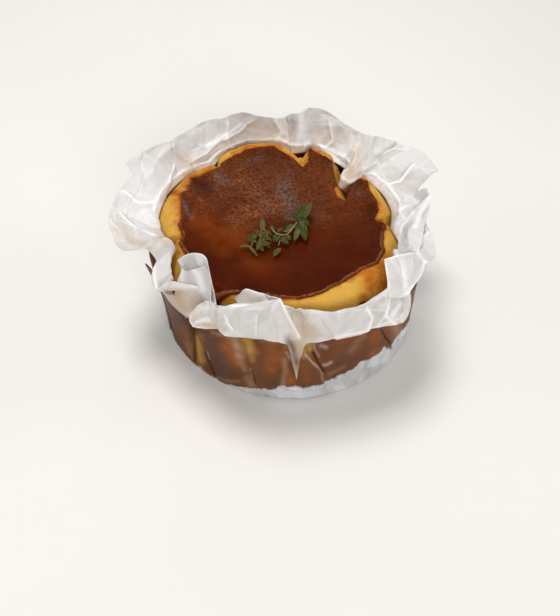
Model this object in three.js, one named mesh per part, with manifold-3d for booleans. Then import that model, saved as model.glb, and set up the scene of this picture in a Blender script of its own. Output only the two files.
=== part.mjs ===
// A small basque cheesecake in the crumpled baking paper that it was baked in, with thyme on top.
// Millimetres, +Z up. The origin is the middle of the underside; the shown front faces -Y.
import * as THREE from "three";
import { mergeVertices } from "three/addons/utils/BufferGeometryUtils.js";
import Module from "manifold-3d";

// Driving sizes
const tinRadius = 60; // a 12 cm tin shaped the outside of the paper
const paperThickness = 0.8;
const gap = 0.35; // clearance between pieces that touch
const pleatStep = 1.2; // how far an overlapping pleat stands proud of its neighbour
const crustHeight = 55.4; // top of the browned crust above the underside
const lipRise = 0.8; // thin raised lip round the crust
const crustInset = 0.3; // how far the crust lies below the foot of its lip
const raggedEdge = 1.2; // how far the edge of the crust wanders in and out
const shoulderDip = 3.6; // depth below the crust at which the golden outline is given
const baseFillet = 2.4; // rounding where the side meets the underside
const swellFrom = 8; // heights between which the side leans out to its full swell
const swellTo = 46;
const pleatFade = 14; // degrees of azimuth over which a pleat runs back into the round side
const restGap = 0.45; // extra clearance of the paper over the rounded shoulder
const looseFrom = 35; // height where the paper leaves the side, along the front
const openMiddle = 39;
const openFoot = 43; // height where the freely standing paper begins, along the front
const easeOut = 5.5; // extra room where the paper changes from lying on the shoulder to standing
const bendLength = 2.6; // length of paper taken up by the rounded bend of a fold
const crumple = 0.7; // depth of the small dents in the standing paper
const widestColumn = 4.6; // degrees of azimuth that one facet may span
const narrowestColumn = 0.9;
const bendSteps = 3; // facets round a fold
const endSteps = 3; // facets from a fold to the hem
const slotOverrun = 8; // a slot is cut this far out past its mouth
const slotHeadroom = 3;
const slotTaper = 0.35; // width of a slot's bottom as a share of its top
const leafThickness = 0.45;
const leafSteps = 4; // facets along a leaf

const rad = THREE.MathUtils.degToRad;
const lerp = THREE.MathUtils.lerp;
const smoothstep = THREE.MathUtils.smoothstep;

// Outline of the cake, lobe by lobe. Azimuth at in degrees from +X towards the back; top is the
// radius of the golden shoulder, crust is the radius of the browned top, drop is the height where
// the rounded shoulder runs into the side, and swell is how far the side leans out by then.
const lobes = [
  { at: 2, top: 44.5, crust: 36.5, drop: 36, swell: 0 },
  { at: 14, top: 45.5, crust: 39.5, drop: 36, swell: 0 },
  { at: 34, top: 46.5, crust: 43, drop: 38, swell: 0 },
  { at: 50, top: 46, crust: 44, drop: 40, swell: 0 },
  { at: 66, top: 49, crust: 47, drop: 41, swell: 0 },
  { at: 80, top: 54.5, crust: 52.5, drop: 43, swell: 0.5 },
  { at: 90, top: 51.5, crust: 45, drop: 43, swell: 1 },
  { at: 99, top: 58, crust: 53, drop: 45, swell: 3 },
  { at: 112, top: 61.5, crust: 56, drop: 48, swell: 5 },
  { at: 125, top: 58.5, crust: 54.5, drop: 47, swell: 4 },
  { at: 135, top: 53, crust: 49.5, drop: 45, swell: 2.5 },
  { at: 150, top: 57.5, crust: 53.5, drop: 46, swell: 2.5 },
  { at: 165, top: 58.5, crust: 49.5, drop: 45, swell: 3 },
  { at: 182, top: 58, crust: 47, drop: 44, swell: 3.5 },
  { at: 194, top: 55, crust: 47.5, drop: 43, swell: 3.5 },
  { at: 203, top: 53, crust: 51, drop: 42, swell: 3 },
  { at: 222, top: 56, crust: 53, drop: 42, swell: 2 },
  { at: 250, top: 56, crust: 51.5, drop: 41, swell: 0.5 },
  { at: 270, top: 56, crust: 51.5, drop: 40, swell: 0 },
  { at: 290, top: 55.5, crust: 47.5, drop: 38, swell: 0 },
  { at: 308, top: 54, crust: 43, drop: 36, swell: 0 },
  { at: 328, top: 50.5, crust: 39.5, drop: 36, swell: 0 },
  { at: 342, top: 48, crust: 39.5, drop: 36, swell: 0 },
  { at: 353, top: 43.5, crust: 36, drop: 36, swell: 0 },
];

// Slots in the rim of the cake, where a fold of the paper reached in: a cut from its mouth to
// its tip, open at the top and closing downwards.
const slots = [
  { mouth: [30, 33], tip: [23.6, 11.5], width: 9.5, depth: 19 },
  { mouth: [4.8, 53], tip: [4.4, 37.5], width: 6, depth: 14 },
  { mouth: [-38, 39], tip: [-34.6, 35.5], width: 5, depth: 10 },
  { mouth: [-50, -20.6], tip: [-44.5, -18.4], width: 5, depth: 10 },
  { mouth: [43.5, -5], tip: [34.5, -3.4], width: 6, depth: 13 },
];

// Azimuths of the overlapping pleats down the side of the paper.
const pleats = [4, 26, 48, 67, 84, 110, 135, 157, 180, 203, 228, 238, 254, 280, 314, 335];

// The paper above the cake, fold by fold. From its foot on the cake the paper runs low mm at
// lowLean degrees from upright, bends, and ends after high mm more at highLean degrees.
// A lean above 90 degrees is folded outwards and hangs down.
const folds = [
  { at: 1, low: 10.5, lowLean: 65, high: 5.5, highLean: 42 },
  { at: 8, low: 10, lowLean: 66, high: 7.5, highLean: 43 },
  { at: 15, low: 8, lowLean: 66, high: 4.5, highLean: 59 },
  { at: 21, low: 12.5, lowLean: 68, high: 13, highLean: 72 },
  { at: 31, low: 13, lowLean: 65, high: 13, highLean: 73 },
  { at: 38, low: 13, lowLean: 61, high: 11.5, highLean: 72 },
  { at: 46, low: 12.5, lowLean: 57, high: 8, highLean: 58 },
  { at: 55, low: 9, lowLean: 43, high: 7.5, highLean: 43 },
  { at: 66, low: 9, lowLean: 37, high: 8, highLean: 32 },
  { at: 76, low: 9, lowLean: 27, high: 10.5, highLean: 20 },
  { at: 83, low: 7.5, lowLean: 27, high: 12, highLean: 4 },
  { at: 88, low: 7, lowLean: 21, high: 11, highLean: 14 },
  { at: 91, low: 8, lowLean: 49, high: 7.5, highLean: 27 },
  { at: 98, low: 6.5, lowLean: 23, high: 6, highLean: 16 },
  { at: 106, low: 7, lowLean: 8, high: 7, highLean: 0 },
  { at: 114, low: 8, lowLean: 6, high: 9, highLean: 3 },
  { at: 124, low: 7.5, lowLean: 18, high: 9, highLean: 8 },
  { at: 134, low: 9, lowLean: 37, high: 10, highLean: 27 },
  { at: 148, low: 7.5, lowLean: 27, high: 9, highLean: 27 },
  { at: 157, low: 8, lowLean: 49, high: 11, highLean: 42 },
  { at: 165, low: 10, lowLean: 52, high: 11, highLean: 60 },
  { at: 168, low: 8, lowLean: 58, high: 7.5, highLean: 54 },
  { at: 178, low: 10, lowLean: 63, high: 8.5, highLean: 66 },
  { at: 188, low: 10, lowLean: 72, high: 10, highLean: 75 },
  { at: 198, low: 8.5, lowLean: 78, high: 8, highLean: 77 },
  { at: 208, low: 7, lowLean: 34, high: 4, highLean: 135 },
  { at: 216, low: 10, lowLean: 7, high: 9, highLean: 141 },
  { at: 221.5, low: 1.5, lowLean: 5, high: 1, highLean: 40 },
  { at: 223, low: 11, lowLean: 0, high: 6.5, highLean: -10 },
  { at: 227, low: 13, lowLean: -5, high: 9, highLean: -29 },
  { at: 233, low: 12, lowLean: -8, high: 8, highLean: -32 },
  { at: 237, low: 11, lowLean: 3, high: 3.5, highLean: 135 },
  { at: 242, low: 12, lowLean: 24, high: 11, highLean: 171 },
  { at: 251, low: 13.5, lowLean: 6, high: 14.5, highLean: 173 },
  { at: 266, low: 16, lowLean: -6, high: 18, highLean: 167 },
  { at: 271, low: 15, lowLean: -2, high: 37, highLean: 175 },
  { at: 276, low: 13.5, lowLean: 2, high: 13.5, highLean: 170 },
  { at: 287, low: 13.5, lowLean: 6, high: 14.5, highLean: 173 },
  { at: 305, low: 13.5, lowLean: 6, high: 14.5, highLean: 170 },
  { at: 312, low: 14, lowLean: -2, high: 16.5, highLean: 161 },
  { at: 318, low: 13, lowLean: -10, high: 17, highLean: 149 },
  { at: 326, low: 8, lowLean: 7, high: 12, highLean: 130 },
  { at: 334, low: 8, lowLean: 45, high: 9, highLean: 101 },
  { at: 341, low: 8.5, lowLean: 58, high: 6.5, highLean: 67 },
  { at: 352, low: 9.5, lowLean: 67, high: 6, highLean: 45 },
];

// Where the paper stands free of the cake's shoulder, along the front.
const freeFront = { from: 204, to: 322, blend: 10 };

// A small seeded generator, so that the dents are the same each time.
function seededRandom(seed) {
  let state = seed;
  return () => {
    state = (state * 1664525 + 1013904223) % 4294967296;
    return state / 4294967296;
  };
}

// Value of a table's field at an azimuth, straight from row to row, closed round the circle.
function along(table, field, azimuth) {
  const a = THREE.MathUtils.euclideanModulo(azimuth, 360);
  const next = table.find((row) => row.at > a) ?? table[0];
  const before = table[(table.indexOf(next) + table.length - 1) % table.length];
  const span = THREE.MathUtils.euclideanModulo(next.at - before.at, 360);
  const t = THREE.MathUtils.euclideanModulo(a - before.at, 360) / span;
  return lerp(before[field], next[field], t);
}

// Facet columns round the cake: every fold and pleat has its own, and wide spans are filled.
function columnAzimuths() {
  const keys = [...folds.map((f) => f.at), ...pleats.flatMap((p) => [p - 0.5, p + 0.5])];
  keys.sort((a, b) => a - b);
  const spaced = keys.filter((a, i) => i === 0 || a - keys[i - 1] >= narrowestColumn);
  return spaced.flatMap((a, i) => {
    const next = i + 1 < spaced.length ? spaced[i + 1] : spaced[0] + 360;
    const parts = Math.ceil((next - a) / widestColumn);
    return Array.from({ length: parts }, (_, k) => a + ((next - a) * k) / parts);
  });
}

const azimuths = columnAzimuths();

// How far the pleats let the side of the paper sink behind its full radius.
function pleatSink(azimuth) {
  const since = pleats.map((p) => THREE.MathUtils.euclideanModulo(azimuth - p, 360));
  const nearest = Math.min(...since);
  return pleatStep * Math.max(0, 1 - nearest / pleatFade);
}

// Number of a vertex in a polar grid whose vertex 0 is the pole.
const vertex = (row, column) => 1 + row * azimuths.length + (column % azimuths.length);

// A polar grid that is open at the top: rows of [radius, height] for each column round a pole.
// The two triangles of a facet share the diagonal that splitsOtherWay picks.
function polarGrid(columnRows, poleHeight, splitsOtherWay) {
  const rows = columnRows[0].length;
  const positions = [0, 0, poleHeight];
  const index = [];
  for (let row = 0; row < rows; row++) {
    azimuths.forEach((azimuth, column) => {
      const [radius, height] = columnRows[column][row];
      positions.push(radius * Math.cos(rad(azimuth)), radius * Math.sin(rad(azimuth)), height);
    });
  }
  for (let column = 0; column < azimuths.length; column++) {
    index.push(0, vertex(0, column + 1), vertex(0, column));
    for (let row = 0; row + 1 < rows; row++) {
      const [a, b] = [vertex(row, column), vertex(row, column + 1)];
      const [c, d] = [vertex(row + 1, column + 1), vertex(row + 1, column)];
      if (splitsOtherWay(row, column)) index.push(a, b, d, b, c, d);
      else index.push(a, b, c, a, c, d);
    }
  }
  return { positions, index };
}

function geometryFrom(positions, index) {
  const geometry = new THREE.BufferGeometry();
  geometry.setAttribute("position", new THREE.Float32BufferAttribute(positions, 3));
  geometry.setIndex(index);
  return geometry;
}

// Solids for joining and cutting
const wasm = await Module();
wasm.setup();

function solidFrom(geometry) {
  const bare = geometry.clone();
  bare.deleteAttribute("normal");
  bare.deleteAttribute("uv");
  const merged = mergeVertices(bare, 1e-3);
  return new wasm.Manifold(
    new wasm.Mesh({
      numProp: 3,
      vertProperties: new Float32Array(merged.attributes.position.array),
      triVerts: new Uint32Array(merged.index.array),
    }),
  );
}

function geometryOf(solid) {
  const mesh = solid.getMesh();
  return geometryFrom(Array.from(mesh.vertProperties), Array.from(mesh.triVerts));
}

// ---- Cheesecake ----

const cakeSide = tinRadius - paperThickness - gap - pleatStep;
const cakeBottom = paperThickness + gap;
const shoulderSteps = [1, 0.72, 0.46, 0.22]; // places of its facets along the shoulder curve
const sideHeights = [12, 24]; // rows of facets part of the way up the side
const crustSteps = [0.93, 0.76, 0.52, 0.27]; // rows of facets across the crust, as shares
const flatShare = 0.6; // row of facets on the flat underside, as a share

// How far the side leans out at a height.
function sideSwell(azimuth, height) {
  return along(lobes, "swell", azimuth) * smoothstep(height, swellFrom, swellTo);
}

// Rounded shoulder from the crust edge, through the golden outline, into the straight side.
function shoulderCurve(azimuth) {
  const crust = along(lobes, "crust", azimuth);
  const drop = along(lobes, "drop", azimuth);
  const start = new THREE.Vector2(crust + lipRise, crustHeight - crustInset);
  const middle = new THREE.Vector2(along(lobes, "top", azimuth), crustHeight - shoulderDip);
  const end = new THREE.Vector2(cakeSide + sideSwell(azimuth, drop), drop);
  const control = middle.clone().multiplyScalar(2).addScaledVector(start.clone().add(end), -0.5);
  return new THREE.QuadraticBezierCurve(start, control, end);
}

function shoulderPoint(azimuth, t) {
  const p = shoulderCurve(azimuth).getPoint(t);
  return [Math.min(p.x, cakeSide + along(lobes, "swell", azimuth)), p.y];
}

// Low swells of the browned top.
function crustSwell(radius, azimuth) {
  const x = radius * Math.cos(rad(azimuth));
  const y = radius * Math.sin(rad(azimuth));
  return 0.3 * Math.sin(x / 8 + 1.1) * Math.cos(y / 9.5) - 0.5 * (1 - radius / 50);
}

function cheesecake() {
  const random = seededRandom(7);
  const columns = azimuths.map((azimuth) => {
    const crust = along(lobes, "crust", azimuth) + (random() - 0.5) * raggedEdge;
    const inner = crustSteps.map((share) => {
      const radius = crust * share;
      return [radius, crustHeight - crustInset + crustSwell(radius, azimuth)];
    });
    return [
      [cakeSide * flatShare, cakeBottom],
      [cakeSide - baseFillet, cakeBottom],
      [cakeSide, cakeBottom + baseFillet],
      ...sideHeights.map((height) => [cakeSide + sideSwell(azimuth, height), height]),
      ...shoulderSteps.map((t) => shoulderPoint(azimuth, t)),
      [crust + lipRise, crustHeight],
      [crust, crustHeight + lipRise * (0.5 + 0.5 * random())],
      ...inner,
    ];
  });
  const { positions, index } = polarGrid(columns, cakeBottom, () => false);
  const centre = positions.push(0, 0, crustHeight - crustInset + crustSwell(0, 0)) / 3 - 1;
  const lastRow = columns[0].length - 1;
  azimuths.forEach((_, column) => {
    index.push(centre, vertex(lastRow, column), vertex(lastRow, column + 1));
  });
  const body = solidFrom(geometryFrom(positions, index));
  return geometryOf(slots.reduce((cake, slot) => cake.subtract(slotCutter(slot)), body));
}

// A wedge: widest at the mouth and at the top, closing to an edge at the tip and below.
function slotCutter({ mouth, tip, width, depth }) {
  const outward = new THREE.Vector2(mouth[0] - tip[0], mouth[1] - tip[1]).normalize();
  const out = new THREE.Vector2(...mouth).addScaledVector(outward, slotOverrun);
  const across = new THREE.Vector2(-outward.y, outward.x).multiplyScalar(width / 2);
  const top = crustHeight + slotHeadroom;
  const bottom = crustHeight - depth;
  const outline = new THREE.Shape([
    new THREE.Vector2(...tip),
    out.clone().sub(across),
    out.clone().add(across),
  ]);
  if (THREE.ShapeUtils.isClockWise(outline.getPoints())) outline.curves.reverse();
  const wedge = new THREE.ExtrudeGeometry(outline, { depth: top - bottom, bevelEnabled: false });
  wedge.translate(0, 0, bottom);
  const position = wedge.getAttribute("position");
  for (let i = 0; i < position.count; i++) {
    if (position.getZ(i) > (top + bottom) / 2) continue;
    const fromOut = new THREE.Vector2(position.getX(i), position.getY(i)).sub(out);
    position.setXY(i, out.x + fromOut.x * slotTaper, out.y + fromOut.y * slotTaper);
  }
  return solidFrom(wedge);
}

// ---- Baking paper ----

const half = paperThickness / 2;
const paperSide = tinRadius - half;

// Share of the way from hugging the shoulder, 0, to standing free of it, 1.
function freedom(azimuth) {
  const { from, to, blend } = freeFront;
  const rising = smoothstep(azimuth, from, from + blend);
  return rising * (1 - smoothstep(azimuth, to - blend, to));
}

// Middle of the sheet from the underside up to the foot of the standing paper.
function liningRows(azimuth) {
  const sink = pleatSink(azimuth);
  const free = freedom(azimuth);
  const drop = along(lobes, "drop", azimuth);
  const hugging = [0.76, 0.48].map((t) => {
    const here = shoulderPoint(azimuth, t);
    const ahead = shoulderPoint(azimuth, t - 0.05);
    const slope = Math.atan2(here[1] - ahead[1], here[0] - ahead[0]);
    const offset = half + gap + restGap;
    return [here[0] - Math.sin(slope) * offset, here[1] + Math.cos(slope) * offset];
  });
  const side = (height) => paperSide - sink + sideSwell(azimuth, height);
  const shoulderStart = lerp(drop + 1.5, looseFrom, free);
  const upright = [openMiddle, openFoot].map((height) => [side(height) + sink / 2, height]);
  const ease = easeOut * free * (1 - free);
  const shoulder = hugging.map((p, i) => [
    lerp(p[0], upright[i][0], free) + ease,
    lerp(p[1], upright[i][1], free),
  ]);
  return [
    [paperSide * flatShare, half],
    [paperSide - baseFillet, half],
    [paperSide, half + baseFillet],
    ...sideHeights.map((height) => [side(height), height]),
    [side(shoulderStart) + ease, shoulderStart],
    ...shoulder,
  ];
}

// Middle of the standing paper: two leaning panels joined by a rounded bend.
function standingRows(azimuth, foot) {
  const [low, lowLean, high, highLean] = ["low", "lowLean", "high", "highLean"].map((field) =>
    along(folds, field, azimuth),
  );
  const steps = [
    { length: low / 2, lean: lowLean },
    { length: low / 2, lean: lowLean },
    ...Array.from({ length: bendSteps }, (_, i) => ({
      length: bendLength / bendSteps,
      lean: lerp(lowLean, highLean, (i + 0.5) / bendSteps),
    })),
    ...Array.from({ length: endSteps }, () => ({ length: high / endSteps, lean: highLean })),
  ];
  let [radius, height] = foot;
  return steps.map(({ length, lean }) => {
    radius += length * Math.sin(rad(lean));
    height += length * Math.cos(rad(lean));
    return [radius, height];
  });
}

// Vertex normals of the sheet, averaged over the facets that meet there.
function sheetNormals(positions, index) {
  const sheet = geometryFrom(positions, index);
  sheet.computeVertexNormals();
  return sheet.getAttribute("normal").array;
}

function parchment() {
  const random = seededRandom(23);
  const columns = azimuths.map((azimuth) => {
    const lining = liningRows(azimuth);
    return [...lining, ...standingRows(azimuth, lining.at(-1))];
  });
  const rows = columns[0].length;
  const { positions: middle, index } = polarGrid(columns, half, (row, column) => (row + column) % 2 === 0);
  const footRow = liningRows(0).length;
  const smoothNormals = sheetNormals(middle, index);
  for (let i = vertex(footRow + 1, 0); i < middle.length / 3; i++) {
    const dent = (random() - 0.5) * crumple;
    for (let k = 0; k < 3; k++) middle[3 * i + k] += smoothNormals[3 * i + k] * dent;
  }
  const normals = sheetNormals(middle, index);
  const offset = (side) => middle.map((value, i) => value + side * half * normals[i]);
  const vertices = middle.length / 3;
  const inward = index.map((_, i) => index[i - (i % 3) + [0, 2, 1][i % 3]] + vertices);
  const hem = [];
  azimuths.forEach((_, column) => {
    const [a, b] = [vertex(rows - 1, column), vertex(rows - 1, column + 1)];
    hem.push(a, b, b + vertices, a, b + vertices, a + vertices);
  });
  return geometryFrom([...offset(1), ...offset(-1)], [...index, ...inward, ...hem]);
}

// ---- Thyme ----

const crustTop = (x, y) =>
  crustHeight - crustInset + crustSwell(Math.hypot(x, y), THREE.MathUtils.radToDeg(Math.atan2(y, x)));

// A thin wavy leaf from its stalk end at the origin along +X, both faces split alike.
function leafBlade(length, width) {
  const positions = [];
  const index = [];
  for (const side of [1, -1]) {
    for (let i = 0; i <= leafSteps; i++) {
      const t = i / leafSteps;
      const halfWidth = (width / 2) * (0.22 + 0.78 * Math.sin(Math.PI * (0.06 + 0.92 * t)));
      for (const across of [-1, 0, 1]) {
        const ripple = 0.16 * Math.sin(5 * t + across);
        const trough = 0.28 * Math.abs(across);
        const droop = 0.35 * t * t;
        const z = ripple + trough - droop + (side * leafThickness) / 2;
        positions.push(t * length, across * halfWidth, z);
      }
    }
  }
  const top = (i, j) => 3 * i + j;
  const under = (i, j) => top(i, j) + 3 * (leafSteps + 1);
  for (let i = 0; i < leafSteps; i++) {
    for (const j of [0, 1]) {
      const corners = [[i, j], [i + 1, j], [i + 1, j + 1], [i, j + 1]];
      const [a, b, c, d] = corners.map((corner) => top(...corner));
      const [e, f, g, h] = corners.map((corner) => under(...corner));
      index.push(a, b, c, a, c, d, e, g, f, e, h, g);
    }
    index.push(top(i, 0), under(i, 0), under(i + 1, 0), top(i, 0), under(i + 1, 0), top(i + 1, 0));
    index.push(top(i, 2), under(i + 1, 2), under(i, 2), top(i, 2), top(i + 1, 2), under(i + 1, 2));
  }
  for (const j of [0, 1]) {
    index.push(top(0, j), top(0, j + 1), under(0, j + 1), top(0, j), under(0, j + 1), under(0, j));
    const end = leafSteps;
    index.push(top(end, j), under(end, j + 1), top(end, j + 1));
    index.push(top(end, j), under(end, j), under(end, j + 1));
  }
  return geometryFrom(positions, index);
}

// A leaf set at a place above the crust: heading in degrees from +X, rise is its upward tilt.
function placedLeaf({ x, y, lift, heading, rise, roll, length, width }) {
  const leaf = leafBlade(length, width);
  leaf.applyMatrix4(new THREE.Matrix4().makeRotationX(rad(roll)));
  leaf.applyMatrix4(new THREE.Matrix4().makeRotationY(rad(-rise)));
  leaf.applyMatrix4(new THREE.Matrix4().makeRotationZ(rad(heading)));
  leaf.translate(x, y, crustTop(x, y) + lift);
  return leaf;
}

function stemTube(points, radius) {
  const path = new THREE.CatmullRomCurve3(
    points.map(([x, y, lift]) => new THREE.Vector3(x, y, crustTop(x, y) + lift)),
  );
  const section = new THREE.Shape();
  section.absarc(0, 0, radius, 0, 2 * Math.PI);
  return new THREE.ExtrudeGeometry(section, { steps: 8, curveSegments: 3, extrudePath: path });
}

function sprig({ stems, leaves }) {
  const pieces = [
    ...stems.map(({ points, radius }) => solidFrom(stemTube(points, radius))),
    ...leaves.map((leaf) => solidFrom(placedLeaf(leaf))),
  ];
  return geometryOf(pieces.reduce((whole, piece) => whole.add(piece)));
}

const leftSprig = {
  stems: [
    { radius: 0.5, points: [[-12.4, -11, 3.4], [-12.7, -15, 2.6], [-12.6, -21, 1.6], [-14.2, -26, 1.1]] },
    { radius: 0.4, points: [[-12.6, -14.5, 2.6], [-15.4, -18.5, 2], [-16.6, -23, 1.5], [-15.6, -27, 1.1]] },
  ],
  leaves: [
    { x: -12.4, y: -12, lift: 3.2, heading: 84, rise: 6, roll: 20, length: 6.2, width: 3.4 },
    { x: -15.2, y: -18.4, lift: 2.1, heading: 195, rise: 4, roll: -20, length: 4.6, width: 3.6 },
    { x: -16.4, y: -24, lift: 1.5, heading: 184, rise: 2, roll: 10, length: 5.4, width: 2.2 },
    { x: -16, y: -25.6, lift: 1.4, heading: 296, rise: 2, roll: 0, length: 5, width: 2.2 },
    { x: -12.7, y: -19.5, lift: 1.9, heading: 342, rise: 8, roll: 14, length: 5.2, width: 3.8 },
    { x: -12.6, y: -16.5, lift: 2.3, heading: 20, rise: 10, roll: -10, length: 4.4, width: 2.4 },
  ],
};

const rightSprig = {
  stems: [
    { radius: 0.5, points: [[3.6, -6, 3], [1.4, -11.5, 2.6], [-1.6, -16, 1.9], [-4.4, -19.6, 1.1]] },
    { radius: 0.4, points: [[-7.6, -12.4, 1.5], [-6.4, -15.2, 1.5], [-2.6, -16.4, 1.8], [1.2, -12, 2.5]] },
  ],
  leaves: [
    { x: 3, y: -7, lift: 3.1, heading: 66, rise: 8, roll: 16, length: 8.4, width: 4.4 },
    { x: 3.4, y: -5.6, lift: 3.2, heading: 48, rise: 12, roll: -24, length: 8.8, width: 4 },
    { x: 3.2, y: -7, lift: 2.8, heading: 284, rise: -6, roll: 10, length: 7.4, width: 4 },
    { x: 2, y: -10, lift: 2.6, heading: 300, rise: -4, roll: -16, length: 6, width: 2.8 },
    { x: 2.8, y: -8, lift: 2.9, heading: 158, rise: 6, roll: 22, length: 6, width: 3.4 },
    { x: 1.6, y: -11, lift: 2.6, heading: 192, rise: -3, roll: -18, length: 6.2, width: 2.6 },
    { x: -3.4, y: -18.2, lift: 1.5, heading: 318, rise: 3, roll: 12, length: 5, width: 4 },
    { x: -4, y: -19, lift: 1.4, heading: 205, rise: 2, roll: -8, length: 4.4, width: 2.6 },
  ],
};

const looseLeaf = {
  x: -8, y: -30.4, lift: 0.85, heading: 42, rise: 2, roll: 6, length: 5.8, width: 2.8,
};

// ---- The whole ----

function piece(name, geometry, color, roughness) {
  const material = new THREE.MeshStandardMaterial({ color, roughness, metalness: 0 });
  const mesh = new THREE.Mesh(geometry, material);
  mesh.name = name;
  return mesh;
}

const group = new THREE.Group();
group.add(
  piece("cheesecake", cheesecake(), "#7a3a12", 0.35),
  piece("parchment", parchment(), "#d9d2c8", 0.6),
  piece("thyme_sprig_left", sprig(leftSprig), "#5f7031", 0.6),
  piece("thyme_sprig_right", sprig(rightSprig), "#4c6a2a", 0.6),
  piece("thyme_leaf", placedLeaf(looseLeaf), "#4f6438", 0.6),
);

export default group;
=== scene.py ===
import math

import bpy
import numpy as np
from mathutils import Matrix, Vector, geometry


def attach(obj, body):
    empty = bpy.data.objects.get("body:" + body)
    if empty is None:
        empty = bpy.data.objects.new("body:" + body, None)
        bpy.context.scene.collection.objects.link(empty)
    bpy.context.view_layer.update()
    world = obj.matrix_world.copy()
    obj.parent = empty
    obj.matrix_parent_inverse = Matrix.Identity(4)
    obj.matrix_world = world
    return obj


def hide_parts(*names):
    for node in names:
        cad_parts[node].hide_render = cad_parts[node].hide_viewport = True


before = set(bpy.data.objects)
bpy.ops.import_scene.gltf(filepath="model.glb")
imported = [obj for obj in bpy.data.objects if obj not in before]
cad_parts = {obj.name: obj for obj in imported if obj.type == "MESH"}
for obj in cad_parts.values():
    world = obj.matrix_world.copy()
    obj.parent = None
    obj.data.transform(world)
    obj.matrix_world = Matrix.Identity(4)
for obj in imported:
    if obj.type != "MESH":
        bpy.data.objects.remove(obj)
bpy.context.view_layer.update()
MM = 0.001

# ---------------------------------------------------------------- camera and light

CAMERA_PLACE = (-3.94, -225.72, 232.67)
CAMERA_TILT, CAMERA_ROLL = 46.412, 1.542
SENSOR = 36  # across the longer side of the picture
PICTURE_MIDDLE = (280, 308)
PICTURE_HEIGHT = 616
PIXELS_PER_UNIT = 650  # pixels across a length equal to its distance

# Lights: name, place and aim in metres, size, power and colour
WARM_WHITE, COOL_WHITE = (1, 0.985, 0.965), (0.98, 0.99, 1)
LIGHTS = [
    ("overhead", (-0.2, 0.24, 1.05), (0, 0, 0.04), (0.38, 0.38), 6.9, WARM_WHITE),
    ("front", (0.3, -1.15, 0.6), (0, 0, 0.03), (0.7, 0.45), 7.5, WARM_WHITE),
    ("left", (-1.15, -0.1, 0.5), (0, 0, 0.03), (0.5, 0.5), 1.5, COOL_WHITE),
    ("right", (1.15, 0.1, 0.5), (0, 0, 0.03), (0.5, 0.5), 2.8, COOL_WHITE),
    ("sky_behind", (0.0, 1.15, 0.62), (0, 0.03, 0.055), (0.9, 0.25), 1.6, (0.93, 0.96, 1)),
    ("window", (0.01, 1.0, 0.775), (0, 0.018, 0.055), (0.13, 0.12), 0.3, (0.9, 0.93, 1)),
]
ROOM_COLOUR, ROOM_LIGHT = (1, 0.99, 0.98, 1), 0.27


def camera_axes():
    """The photograph's right, up and forward directions."""
    tilt, roll = math.radians(CAMERA_TILT), math.radians(CAMERA_ROLL)
    forward = Vector((0, math.cos(tilt), -math.sin(tilt)))
    up = Vector((0, math.sin(tilt), math.cos(tilt)))
    right = Vector((1, 0, 0))
    level = math.cos(roll) * right + math.sin(roll) * up
    upright = math.cos(roll) * up - math.sin(roll) * right
    return level, upright, forward


def sight_line(px, py):
    """The direction in which a pixel of the 560 x 616 photograph looks."""
    level, upright, forward = camera_axes()
    right = (px - PICTURE_MIDDLE[0]) / PIXELS_PER_UNIT
    up = (PICTURE_MIDDLE[1] - py) / PIXELS_PER_UNIT
    return forward + right * level + up * upright


def seen_at(px, py, radius):
    """The nearest point at a radius from the cake's axis that shows at a pixel."""
    ray = sight_line(px, py)
    x, y, _ = CAMERA_PLACE
    a = ray.x**2 + ray.y**2
    b = x * ray.x + y * ray.y
    c = x * x + y * y - radius * radius
    reach = (-b - math.sqrt(max(b * b - a * c, 0))) / a
    return Vector(CAMERA_PLACE) + reach * ray


def seen_level(px, py, height):
    """The point at a height that shows at a pixel."""
    ray = sight_line(px, py)
    reach = (height - CAMERA_PLACE[2]) / ray.z
    return Vector(CAMERA_PLACE) + reach * ray


def picture_place(points):
    """Where points show in the photograph, as two arrays of pixels."""
    level, upright, forward = (np.array(axis) for axis in camera_axes())
    away = points - np.array(CAMERA_PLACE)
    scale = PIXELS_PER_UNIT / (away @ forward)
    return PICTURE_MIDDLE[0] + (away @ level) * scale, PICTURE_MIDDLE[1] - (away @ upright) * scale


def photo_camera():
    level, upright, forward = camera_axes()
    camera = bpy.data.objects.new("camera", bpy.data.cameras.new("camera"))
    place = Matrix((level, upright, -forward)).transposed().to_4x4()
    place.translation = Vector(CAMERA_PLACE) * MM
    camera.matrix_world = place
    camera.data.sensor_width = SENSOR
    camera.data.lens = SENSOR * PIXELS_PER_UNIT / PICTURE_HEIGHT
    camera.data.clip_start = 0.01
    bpy.context.collection.objects.link(camera)
    bpy.context.scene.camera = camera


def area_light(name, place, aim, size, power, colour):
    data = bpy.data.lights.new(name, "AREA")
    data.shape = "RECTANGLE"
    data.size, data.size_y = size
    data.energy = power
    data.color = colour
    light = bpy.data.objects.new(name, data)
    light.location = place
    light.rotation_euler = (Vector(aim) - Vector(place)).to_track_quat("-Z", "Y").to_euler()
    bpy.context.collection.objects.link(light)


def room_light():
    world = bpy.data.worlds.new("studio")
    world.use_nodes = True
    background = world.node_tree.nodes["Background"]
    background.inputs["Color"].default_value = ROOM_COLOUR
    background.inputs["Strength"].default_value = ROOM_LIGHT
    bpy.context.scene.world = world


photo_camera()
for light in LIGHTS:
    area_light(*light)
room_light()
bpy.context.scene.view_settings.view_transform = "Standard"

# ---------------------------------------------------------------- numbers and noise


def smoothstep(value, low, high):
    t = np.clip((value - low) / (high - low), 0, 1)
    return t * t * (3 - 2 * t)


def mix(a, b, share):
    return a + (b - a) * share


def round_table(rows, azimuth, column):
    """Value at an azimuth, straight from row to row and closed round the circle."""
    rows = sorted(rows)
    return np.interp(azimuth, [r[0] for r in rows], [r[column] for r in rows], period=360)


SCATTER = (73856093, 19349663, 83492791)  # primes that make a cell's value look random
SEED_SCATTER, LAST_SCATTER = 2654435, 1274126177


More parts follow.
